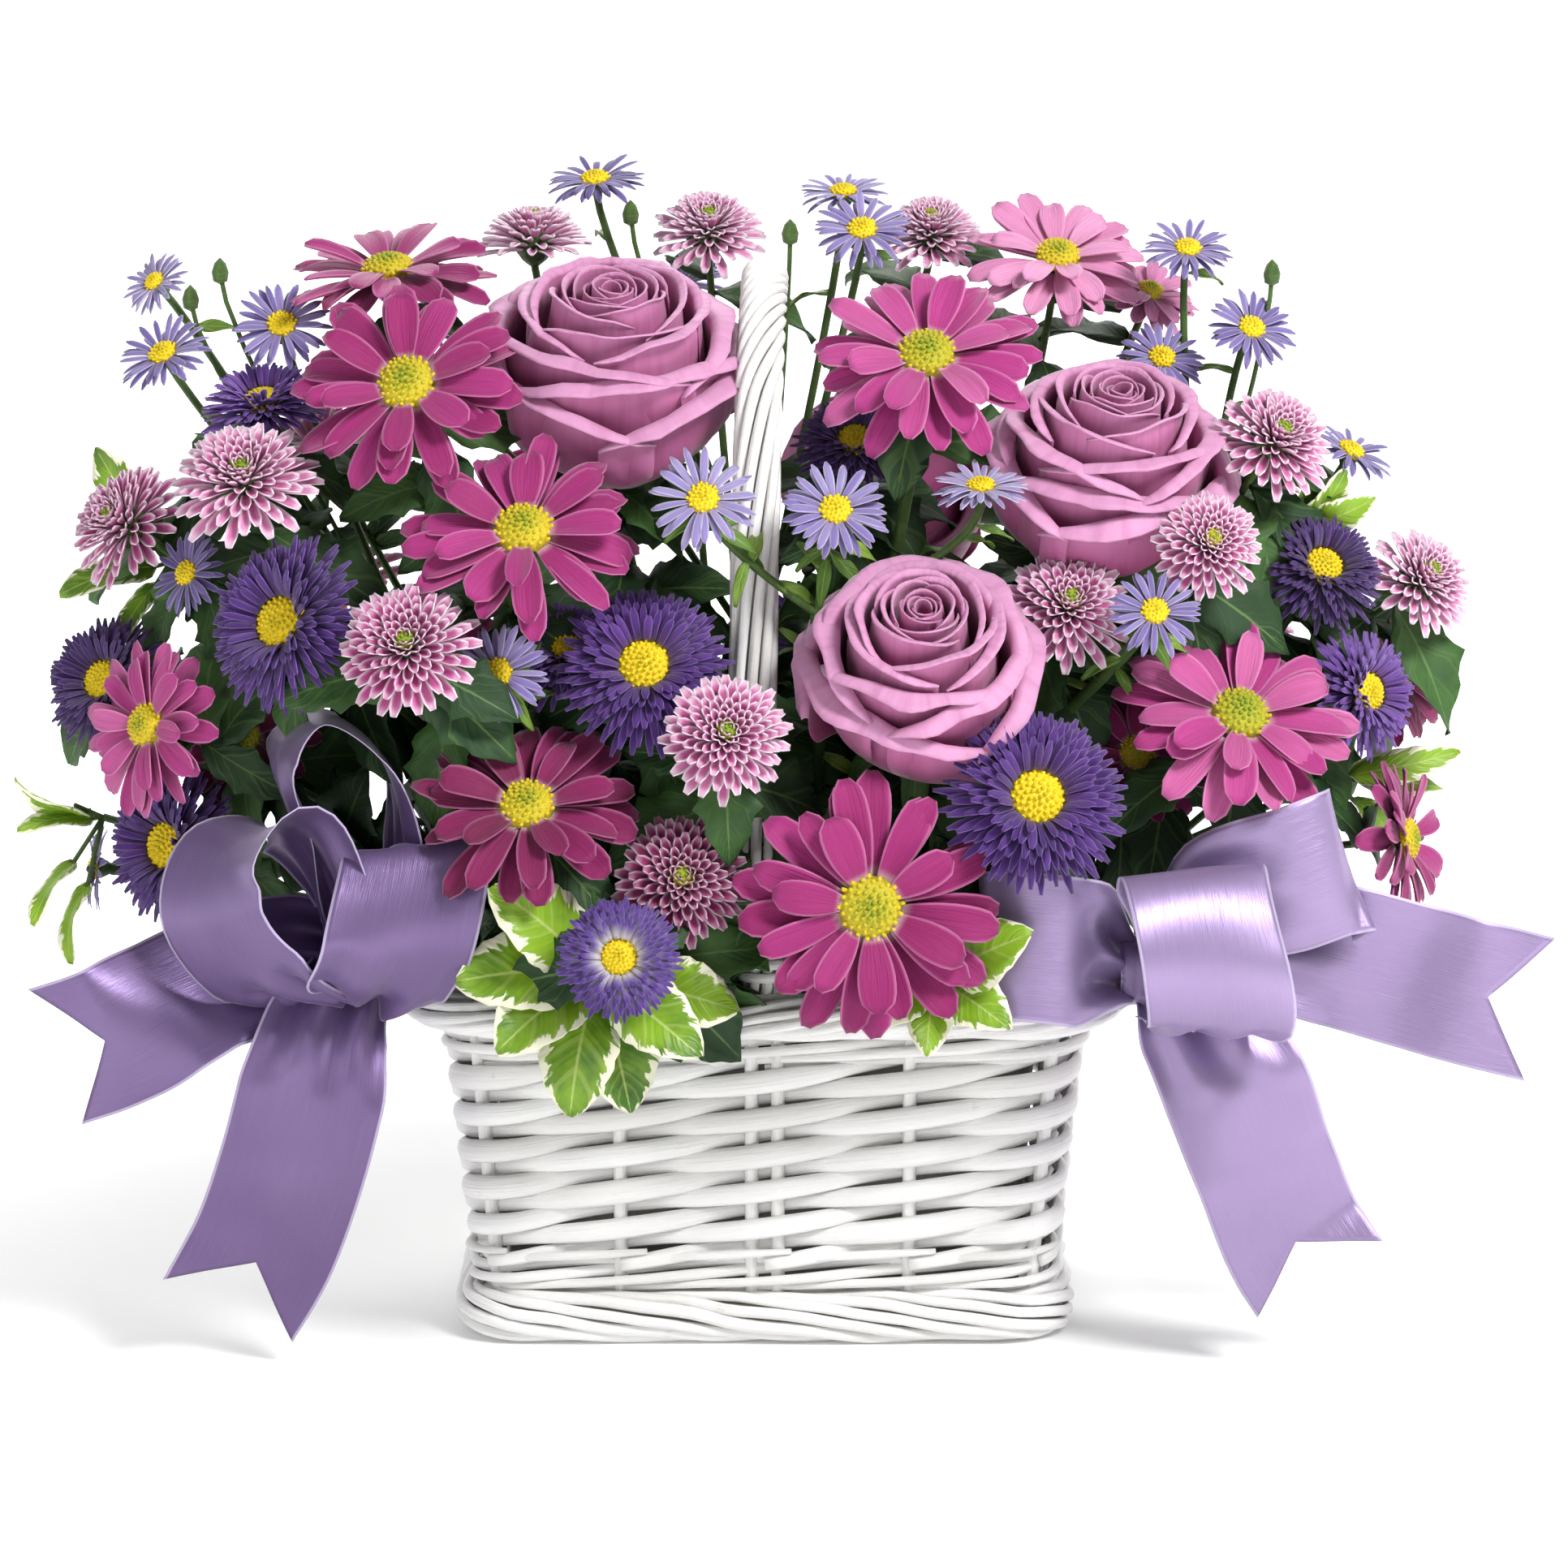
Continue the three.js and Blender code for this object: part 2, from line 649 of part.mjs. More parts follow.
// A blade that ends at `tip` and grows away from `fork`, with its petiole.
function leafSolid(fork, [x, y, z, length], face) {
  const tip = vec(x, y, z);
  const along = tip.clone().sub(fork).normalize();
  const across = along.clone().cross(face).normalize();
  const heel = tip.clone().addScaledVector(along, -length);
  const turn = new THREE.Matrix4().makeBasis(across, along, across.clone().cross(along));
  const blade = leafBlade(length).applyMatrix4(turn.setPosition(heel));
  const inBlade = heel.clone().addScaledVector(along, LEAF.petioleInto * length);
  return toSolid(blade).add(straightBar(fork, inBlade, LEAF.petiole, 0, 3));
}

function sprigStem({ fork, root }) {
  const end = vec(...fork);
  const start = root
    ? vec(...root)
    : vec(end.x * SOCKET.spreadX, end.y * SOCKET.spreadY, SOCKET.bottom);
  return { start, end, radius: STEM.thin };
}

function sprigSolid(sprig) {
  const { start, end, radius } = sprigStem(sprig);
  const face = facing(...sprig.face);
  const leaves = sprig.leaves.map((leaf) => leafSolid(end, leaf, face));
  return joined([straightBar(start, end, radius), ...leaves]);
}

// ------------------------------------------------------------------------------------------------ bows

// Cuts a thin box's under side along the same diagonals as its upper side, so that the two sides stay
// apart when the box is twisted.
function matchDiagonals(geometry) {
  const index = geometry.index.array;
  const { start, count } = geometry.groups[BOX.underSide];
  for (let i = start; i < start + count; i += BOX.perQuad) {
    const [a, b, d, , c] = index.subarray(i, i + BOX.perQuad);
    index.set([a, b, c, a, c, d], i);
  }
}

// A strip of ribbon through its stations: a thin box, bent. `notch` draws the middle of its far end
// back to make a swallow tail.
function strip(stations, notch = 0) {
  const centre = new THREE.CatmullRomCurve3(stations.map(([x, y, z]) => vec(x, y, z)));
  const last = stations.length - 1;
  const length = centre.getLength();
  const sections = notch ? 2 : 1;
  const geometry = new THREE.BoxGeometry(RIBBON.width, RIBBON.thick, 1, sections, 1, RIBBON.steps);
  const position = geometry.attributes.position;
  for (let i = 0; i < position.count; i += 1) {
    const across = position.getX(i);
    const reach = position.getZ(i) + 0.5;
    const atNotch = reach === 1 && across === 0;
    const along = reach - (atNotch ? notch / length : 0);
    const place = along * last;
    const before = Math.min(Math.floor(place), last - 1);
    const share = place - before;
    const [a, b] = [stations[before], stations[before + 1]];
    const mix = (k) => THREE.MathUtils.lerp(a[k], b[k], share);
    const tangent = centre.getTangent(along);
    const over = vec(mix(3), mix(4), mix(5));
    over.addScaledVector(tangent, -over.dot(tangent)).normalize();
    const point = centre.getPoint(along).addScaledVector(over, across * mix(6));
    point.addScaledVector(tangent.clone().cross(over), position.getY(i));
    position.setXYZ(i, point.x, point.y, point.z);
  }
  matchDiagonals(geometry);
  return toSolid(geometry);
}

function ribbonSolid({ knot, loops, tails }) {
  const lump = new THREE.SphereGeometry(1, 8, 6);
  lump.scale(KNOT.halfLength, KNOT.halfThick, KNOT.halfThick);
  lump.translate(...knot);
  return joined([
    toSolid(lump),
    ...Object.values(loops).map((stations) => strip(stations)),
    ...Object.values(tails).map((stations) => strip(stations, RIBBON.notch)),
  ]);
}

// The wire round a bow's middle: a loop, and a leg from its back into the foam.
function wireLeg({ knot }) {
  const [x, y, z] = knot;
  const end = vec(x, y + WIRE.loop, z + WIRE_LEG.behindRise);
  const fromMiddle = FOAM.halfX - WIRE_LEG.fromSide;
  const start = vec(Math.sign(x) * fromMiddle, WIRE_LEG.fromFront - FOAM.halfY, z + WIRE_LEG.rise);
  return { start, end, radius: WIRE.radius };
}

function wireSolid(bow) {
  const { start, end, radius } = wireLeg(bow);
  const loop = new THREE.TorusGeometry(WIRE.loop, WIRE.radius, 5, 10);
  loop.rotateY(Math.PI / 2);
  loop.translate(...bow.knot);
  return toSolid(loop).add(straightBar(start, end, radius));
}

// -------------------------------------------------------------------------------------------- assembly

const sprays = { ...FRONT_SPRAYS, ...BACK_SPRAYS };
const inFoam = [
  ...Object.values(sprays).map(mainStem),
  ...Object.values(SPRIGS).map(sprigStem),
  ...Object.values(BOWS).map(wireLeg),
];
const sockets = inFoam.map(({ start, end, radius }) => straightBar(start, end, radius, HOLE));
const foamBlock = flaredBlock({ ...FOAM, radius: FOAM.corner, flare: 0 });

addPiece("basket_base", basePanel(), FINISH.willow);
addPiece("foot_border", border(FOOT), FINISH.willow);
addPiece("basket_wall", flaredShell(WALL, CORNER, -1).subtract(legHoles), FINISH.willow);
addPiece("rim_border", border(RIM).subtract(legHoles), FINISH.willow);
addPiece("handle", joined([hoop(), handleLeg(-1), handleLeg(1)]), FINISH.willow);
addPiece("liner", flaredShell(LINER, INNER_CORNER, LINER.thick), FINISH.liner);
addPiece("floral_foam", foamBlock.subtract(joined(sockets)), FINISH.foam);
for (const [name, bow] of Object.entries(BOWS)) {
  addPiece(`${name}_ribbon`, ribbonSolid(bow), FINISH.ribbon);
  addPiece(`${name}_wire`, wireSolid(bow), FINISH.wire);
}
for (const [name, spray] of Object.entries(sprays)) {
  addPiece(name, spraySolid(spray), FINISH[spray.kind]);
}
for (const [name, sprig] of Object.entries(SPRIGS)) {
  addPiece(name, sprigSolid(sprig), FINISH.leaf);
}

export default arrangement;
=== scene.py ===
"""The looks of a flower basket arrangement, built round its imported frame.

Sizes are in millimetres and degrees until a piece is finished, and in metres after that.
+Z is up, -Y is the front and the origin is the middle of the basket's underside.
"""

import logging
import math
import random
from dataclasses import dataclass, field, replace
from enum import Enum
from typing import Callable, Iterable, Optional, Sequence

import bmesh
import bpy
from mathutils import Matrix, Vector, noise


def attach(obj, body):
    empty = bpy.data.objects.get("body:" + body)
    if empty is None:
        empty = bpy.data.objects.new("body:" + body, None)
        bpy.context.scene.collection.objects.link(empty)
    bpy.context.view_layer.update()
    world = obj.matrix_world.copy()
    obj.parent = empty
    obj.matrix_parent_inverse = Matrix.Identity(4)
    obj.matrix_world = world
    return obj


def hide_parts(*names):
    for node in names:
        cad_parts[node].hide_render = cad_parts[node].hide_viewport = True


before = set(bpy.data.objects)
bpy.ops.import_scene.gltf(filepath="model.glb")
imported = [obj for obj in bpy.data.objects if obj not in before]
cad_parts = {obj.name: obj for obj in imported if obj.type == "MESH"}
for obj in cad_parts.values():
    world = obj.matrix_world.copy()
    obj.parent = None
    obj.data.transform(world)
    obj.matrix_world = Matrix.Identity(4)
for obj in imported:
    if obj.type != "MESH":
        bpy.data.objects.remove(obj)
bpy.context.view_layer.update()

MM = 0.001
GOLDEN = math.radians(137.508)  # the turn from one petal to the next in a spiral
Spot = tuple[float, float, float]
UP = Vector((0, 0, 1))
HEART = Vector((0, 0, 150))  # the middle of the arrangement, which leaves grow away from
LOG = logging.getLogger("flower_basket")


# ---------- small helpers


def ease(share: float) -> float:
    """A smooth step from 0 at share 0 to 1 at share 1."""
    held = min(max(share, 0.0), 1.0)
    return held * held * (3 - 2 * held)


def mixed(low: float, high: float, share: float) -> float:
    """The number that lies at that share of the way from low to high."""
    return low + (high - low) * share


def facing(pitch: float, yaw: float) -> Vector:
    """The way a head looks: pitch degrees up, and yaw degrees from the front towards +X."""
    up, turn = math.radians(pitch), math.radians(yaw)
    return Vector((math.sin(turn) * math.cos(up), -math.cos(turn) * math.cos(up), math.sin(up)))


def stand(spot: Vector, axis: Vector, up: Vector = UP) -> Matrix:
    """A place for a piece modelled along +Z.

    Args:
        spot: where the piece's origin goes.
        axis: where its +Z points.
        up: what its +Y leans towards.

    Returns:
        The matrix that puts the piece there.
    """
    z = axis.normalized()
    x = up.cross(z)
    if x.length < 1e-3:
        x = Vector((1, 0, 0)).cross(z)
    x.normalize()
    y = z.cross(x)
    return Matrix.Translation(spot) @ Matrix((x, y, z)).transposed().to_4x4()


def through(points: Sequence[Vector], share: float) -> Vector:
    """A point on the smooth curve that runs through the points.

    Args:
        points: the points, in order.
        share: how far along the curve, from 0 to 1.

    Returns:
        The point on a centripetal Catmull-Rom curve.
    """
    place = min(max(share, 0.0), 1.0) * (len(points) - 1)
    at = min(int(place), len(points) - 2)
    here, there = points[at], points[at + 1]
    before = points[at - 1] if at else here * 2 - there
    after = points[at + 2] if at + 2 < len(points) else there * 2 - here
    knots = [0.0]
    for start, end in ((before, here), (here, there), (there, after)):
        knots.append(knots[-1] + max((end - start).length, 1e-6) ** 0.5)
    t = mixed(knots[1], knots[2], place - at)

    def lerp(a: Vector, b: Vector, low: float, high: float) -> Vector:
        """The point at knot t between a at knot low and b at knot high."""
        return a.lerp(b, (t - low) / (high - low))

    a1 = lerp(before, here, knots[0], knots[1])
    a2 = lerp(here, there, knots[1], knots[2])
    a3 = lerp(there, after, knots[2], knots[3])
    b1 = lerp(a1, a2, knots[0], knots[2])
    b2 = lerp(a2, a3, knots[1], knots[3])
    return lerp(b1, b2, knots[1], knots[2])


def bent(start: Vector, middle: Vector, end: Vector, share: float) -> Vector:
    """The point at a share of the way along the quadratic curve of three points."""
    return start.lerp(middle, share).lerp(middle.lerp(end, share), share)


def linked(name: str, data: bpy.types.ID) -> bpy.types.Object:
    """Makes an object of the data and links it into the scene.

    Args:
        name: the object's name.
        data: its mesh, lamp or camera.

    Returns:
        The new object, at the origin.
    """
    made = bpy.data.objects.new(name, data)
    bpy.context.scene.collection.objects.link(made)
    return made


def redressed(node: str, look: bpy.types.Material) -> None:
    """Gives a CAD node that stays its own material.

    Args:
        node: the node's name.
        look: the material.
    """
    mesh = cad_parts[node].data
    mesh.materials.clear()
    mesh.materials.append(look)


# ---------- shader writing


class Value:
    """A shader socket that Python's operators work on. Each adds its Math node."""

    def __init__(self, look: "Look", socket: bpy.types.NodeSocket) -> None:
        """Wraps a socket of one look's tree."""
        self.look = look
        self.socket = socket

    def _math(self, operation: str, *values: "Value | float") -> "Value":
        """The outcome of a Math node on the values."""
        return self.look.node(
            "ShaderNodeMath", {"operation": operation}, dict(enumerate(values))
        )

    def __add__(self, other: "Value | float") -> "Value":
        """self + other."""
        return self._math("ADD", self, other)

    __radd__ = __add__

    def __sub__(self, other: "Value | float") -> "Value":
        """self - other."""
        return self._math("SUBTRACT", self, other)

    def __rsub__(self, other: float) -> "Value":
        """other - self."""
        return self._math("SUBTRACT", other, self)

    def __mul__(self, other: "Value | float") -> "Value":
        """self * other."""
        return self._math("MULTIPLY", self, other)

    __rmul__ = __mul__

    def __abs__(self) -> "Value":
        """The size of self, without its sign."""
        return self._math("ABSOLUTE", self)


class Look:
    """One material, written node by node."""

    def __init__(self, name: str) -> None:
        """Starts a material that has only its shader and its output."""
        self.material = bpy.data.materials.new(name)
        self.material.use_nodes = True
        self.tree = self.material.node_tree
        self.tree.nodes.clear()
        self.shader = self.tree.nodes.new("ShaderNodeBsdfPrincipled")
        output = self.tree.nodes.new("ShaderNodeOutputMaterial")
        self.tree.links.new(self.shader.outputs[0], output.inputs[0])

    def node(
        self,
        kind: str,
        settings: Optional[dict] = None,
        inputs: Optional[dict] = None,
        output: int = 0,
    ) -> Value:
        """Adds a node.

        Args:
            kind: the node's type.
            settings: its own settings, which are set first. "stops" are a ramp's stops.
            inputs: values or links of its sockets, by name or number.
            output: which of its outputs is wanted.

        Returns:
            That output.
        """
        made = self.tree.nodes.new(kind)
        for name, value in (settings or {}).items():
            if name == "stops":
                stops = made.color_ramp.elements
                while len(stops) < len(value):
                    stops.new(1.0)
                for stop, (place, colour) in zip(stops, value):
                    stop.position = place
                    stop.color = (*colour, 1)
            else:
                setattr(made, name, value)
        for name, value in (inputs or {}).items():
            self.feed(made.inputs[name], value)
        return Value(self, made.outputs[output])

    def feed(
        self, socket: bpy.types.NodeSocket, value: "Value | float | Sequence[float]"
    ) -> None:
        """Links a wrapped socket into a socket, or sets the socket's own value.

        Args:
            socket: the input to feed.
            value: what to feed it.
        """
        if isinstance(value, Value):
            self.tree.links.new(value.socket, socket)
        elif socket.type == "RGBA" and len(value) == 3:
            socket.default_value = (*value, 1)
        else:
            socket.default_value = value

    def dress(self, **inputs: "Value | float | Sequence[float]") -> bpy.types.Material:
        """Feeds the shader's sockets.

        Args:
            inputs: what each socket gets, by its name with _ for a space.

        Returns:
            The material.
        """
        for name, value in inputs.items():
            self.feed(self.shader.inputs[name.replace("_", " ")], value)
        return self.material

    def attribute(self, name: str, output: int = 2) -> Value:
        """A value that the mesh carries: output 2 is a number and output 1 a vector."""
        return self.node("ShaderNodeAttribute", {"attribute_name": name}, output=output)

    def run(self) -> tuple[Value, Value, Value]:
        """Where a point lies on its own petal, leaf, ribbon or rod."""
        parts = self.tree.nodes.new("ShaderNodeSeparateXYZ")
        self.feed(parts.inputs[0], self.attribute("run", 1))
        return tuple(Value(self, parts.outputs[i]) for i in range(3))

    def vector(self, x: "Value | float", y: "Value | float", z: "Value | float" = 0.0) -> Value:
        """A vector of three values."""
        return self.node("ShaderNodeCombineXYZ", inputs={0: x, 1: y, 2: z})

    def place(self) -> Value:
        """Where a point lies on the whole object, in metres."""
        return self.node("ShaderNodeTexCoord", output=3)

    def mottle(self, vector: Value, scale: float, detail: float = 2.0) -> Value:
        """Soft noise from 0 to 1."""
        return self.node(
            "ShaderNodeTexNoise", inputs={"Vector": vector, "Scale": scale, "Detail": detail}
        )

    def step(self, value: Value, low: float, high: float) -> Value:
        """A smooth step of the value from 0 at low to 1 at high."""
        return self.node(
            "ShaderNodeMapRange",
            {"interpolation_type": "SMOOTHSTEP"},
            {"Value": value, "From Min": low, "From Max": high},
        )

    def ramp(self, value: Value, stops: Sequence[tuple]) -> Value:
        """The colour of a ramp of (place, colour) stops at the value."""
        return self.node("ShaderNodeValToRGB", {"stops": stops}, {0: value})

    def blend(
        self, share: "Value | float", low: "Value | Sequence", high: "Value | Sequence"
    ) -> Value:
        """The colour at that share of the way from low to high."""
        return self.node(
            "ShaderNodeMix", {"data_type": "RGBA"}, {0: share, 6: low, 7: high}, output=2
        )

    def bump(self, height: Value, distance: float) -> Value:
        """The normal that a height of that many metres gives."""
        return self.node(
            "ShaderNodeBump", inputs={"Strength": 1.0, "Distance": distance, "Height": height}
        )


# ---------- finishes

Colour = tuple[float, float, float]


@dataclass(frozen=True)
class PetalFinish:
    """A petal: its colours from deep to light, its paler heel and edge, and its veins."""

    name: str
    stops: tuple[tuple[float, Colour], ...]
    heel: Colour
    edge: Colour
    heel_reach: float = 0.16
    edge_share: float = 0.5
    edge_from: float = 0.7
    tip_share: float = 0.0
    deepen: float = 0.35
    veins: float = 9.0
    roughness: float = 0.55

    def made(self) -> bpy.types.Material:
        """The petal's material."""
        look = Look(self.name)
        along, across, _ = look.run()
        tone = look.attribute("tone")
        base = look.ramp(tone, self.stops)
        veins = look.mottle(look.vector(along * 1.6, across * self.veins, tone * 31), 1.0, 3)
        darker = look.blend(1.0, base, self.heel)
        darker.socket.node.blend_type = "MULTIPLY"
        base = look.blend(look.step(veins, 0.35, 0.75) * self.deepen, base, darker)
        at_edge = look.step(abs(across), self.edge_from, 1.0) * self.edge_share
        base = look.blend(at_edge * (tone * 0.7 + 0.4), base, self.edge)
        if self.tip_share:
            tip = look.step(along, 0.72, 1.0) * self.tip_share
            base = look.blend(tip * (tone * 0.8 + 0.3), base, self.edge)
        base = look.blend(1 - look.step(along, 0.0, self.heel_reach), base, self.heel)
        return look.dress(
            Base_Color=base,
            Roughness=self.roughness + veins * 0.12,
            Normal=look.bump(veins, 0.00035),
            Sheen_Weight=0.25,
            Sheen_Roughness=0.5,
            Specular_IOR_Level=0.3,
        )


@dataclass(frozen=True)
class RoseFinish:
    """A rose's petal: darker and warmer low in the cup, paler along its rolled lip."""

    name: str
    cup: Colour
    wall: Colour
    lip: Colour

    def made(self) -> bpy.types.Material:
        """The rose petal's material."""
        look = Look(self.name)
        along, across, _ = look.run()
        tone = look.attribute("tone")
        veins = look.mottle(look.vector(along * 2.0, across * 11, tone * 17), 1.0, 3)
        soft = look.mottle(look.place(), 60, 2)
        base = look.ramp(
            along + (soft - 0.5) * 0.16, [(0.0, self.cup), (0.45, self.wall), (0.86, self.lip)]
        )
        base = look.blend(look.step(veins, 0.4, 0.8) * 0.28, base, self.cup)
        base = look.blend(look.step(tone, 0.55, 0.0) * 0.45, base, self.cup)
        return look.dress(
            Base_Color=base,
            Roughness=0.52 + soft * 0.12,
            Normal=look.bump(veins, 0.0003),
            Sheen_Weight=0.35,
            Sheen_Roughness=0.4,
            Specular_IOR_Level=0.3,
        )


@dataclass(frozen=True)
class GreenFinish:
    """A leaf or stem: its two greens, its veins, and the cream margin that some leaves have."""

    name: str
    dark: Colour
    light: Colour
    rib: Colour
    cream: Optional[Colour] = None
    roughness: float = 0.42

    def made(self) -> bpy.types.Material:
        """The green's material."""
        look = Look(self.name)
        along, across, _ = look.run()
        tone = look.attribute("tone")
        side = abs(across)
        patches = look.mottle(look.place(), 90, 3)
        base = look.blend(look.step(patches + tone - 0.5, 0.3, 0.8), self.dark, self.light)
        slanted = along - side * 0.3
        veins = look.mottle(look.vector(slanted * 16, tone * 9), 1.0, 1)
        base = look.blend(look.step(veins, 0.55, 0.7) * 0.35, base, self.rib)
        if self.cream:
            ragged = look.mottle(look.vector(slanted * 13, side * 1.3, tone * 23), 1.0, 4)
            margin = look.step(side + along * 0.15 + (ragged - 0.5) * 1.3, 0.86, 0.94)
            base = look.blend(margin, base, self.cream)
        base = look.blend(1 - look.step(side, 0.0, 0.07), base, self.rib)
        return look.dress(
            Base_Color=base,
            Roughness=self.roughness + patches * 0.15,
            Normal=look.bump(veins, 0.0004),
            Specular_IOR_Level=0.45,
        )


@dataclass(frozen=True)
class FloretFinish:
    """The button in the middle of a flower, from its green middle to its yellow rim."""

    name: str
    green: Colour
    yellow: Colour

    def made(self) -> bpy.types.Material:
        """The button's material."""
        look = Look(self.name)
        tone = look.attribute("tone")
        grain = look.mottle(look.place(), 900, 2)
        ripe = look.step(tone + (grain - 0.5) * 0.4, 0.15, 0.85)
        return look.dress(
            Base_Color=look.blend(ripe, self.green, self.yellow),
            Roughness=0.6 + grain * 0.2,
            Normal=look.bump(grain, 0.0004),
        )


@dataclass(frozen=True)
class WillowFinish:
    """White-painted willow: a thin, slightly worn coat over a fine long grain."""

    name: str
    paint: Colour
    shade: Colour
    bare: Colour

    def made(self) -> bpy.types.Material:
        """The painted willow's material."""
        look = Look(self.name)
        along, turned, risen = look.run()
        tone = look.attribute("tone")
        grain = look.mottle(look.vector(along * 0.06, turned * 5, risen * 5 + tone * 7), 1.0, 4)
        worn = look.mottle(look.place(), 130, 4)
        base = look.blend(look.step(tone + (grain - 0.5) * 0.7, 0.1, 1.0), self.shade, self.paint)
        base = look.blend(look.step(worn * 0.7 + grain * 0.3, 0.64, 0.72) * 0.55, base, self.bare)
        return look.dress(
            Base_Color=base,
            Roughness=0.38 + worn * 0.3,
            Normal=look.bump(grain * 0.7 + worn * 0.3, 0.0005),
        )


@dataclass(frozen=True)
class SatinFinish:
    """Satin ribbon: long shiny threads on its face, and a thin woven selvage down each edge."""

    name: str
    # the light end of the satin's colour: painted light where a bow's tone is high, and the bright
    # side of the thread grain
    lit_satin: Colour
    # the dark end of the satin's colour: painted shade where a bow's tone is low, and the dark side
    # of the thread grain
    deep: Colour
    selvage: Colour

    def made(self) -> bpy.types.Material:
        """The satin's material."""
        look = Look(self.name)
        along, across, _ = look.run()
        threads = look.mottle(look.vector(along * 0.05, across * 90), 1.0, 2)
        cloudy = look.mottle(look.place(), 25, 2)
        tone = look.attribute("tone")
        # How far each point goes from the dark colour to the light: the bow's tone, which is
        # painted shade on the left bow and painted light on the right, with cloudy mottle and
        # thread grain.
        painted_light_and_grain = tone + (cloudy - 0.5) * 0.3 + (threads - 0.5) * 0.2
        base = look.blend(painted_light_and_grain, self.deep, self.lit_satin)
        edge = look.step(abs(across), 0.955, 0.975)
        base = look.blend(edge * 0.75, base, self.selvage)
        return look.dress(
            Base_Color=base,
            Roughness=0.36 + edge * 0.25 + threads * 0.06,
            Normal=look.bump(threads, 0.00008),
            Metallic=0.5,
            Sheen_Weight=0.3,
            Sheen_Roughness=0.3,
            Sheen_Tint=(0.9, 0.84, 1.0, 1),
            Specular_IOR_Level=0.7,
        )


@dataclass(frozen=True)
class PlainFinish:
    """A moulded, foamed or coated surface: two near colours, mottled, with fine relief."""

    name: str
    dark: Colour
    light: Colour
    scale: float
    relief: float
    roughness: float
    metallic: float = 0.0

    def made(self) -> bpy.types.Material:
        """The plain material."""
        look = Look(self.name)
        grain = look.mottle(look.place(), self.scale, 4)
        return look.dress(
            Base_Color=look.blend(grain, self.dark, self.light),
            Roughness=self.roughness + grain * 0.15,
            Normal=look.bump(grain, self.relief),
            Metallic=self.metallic,
        )


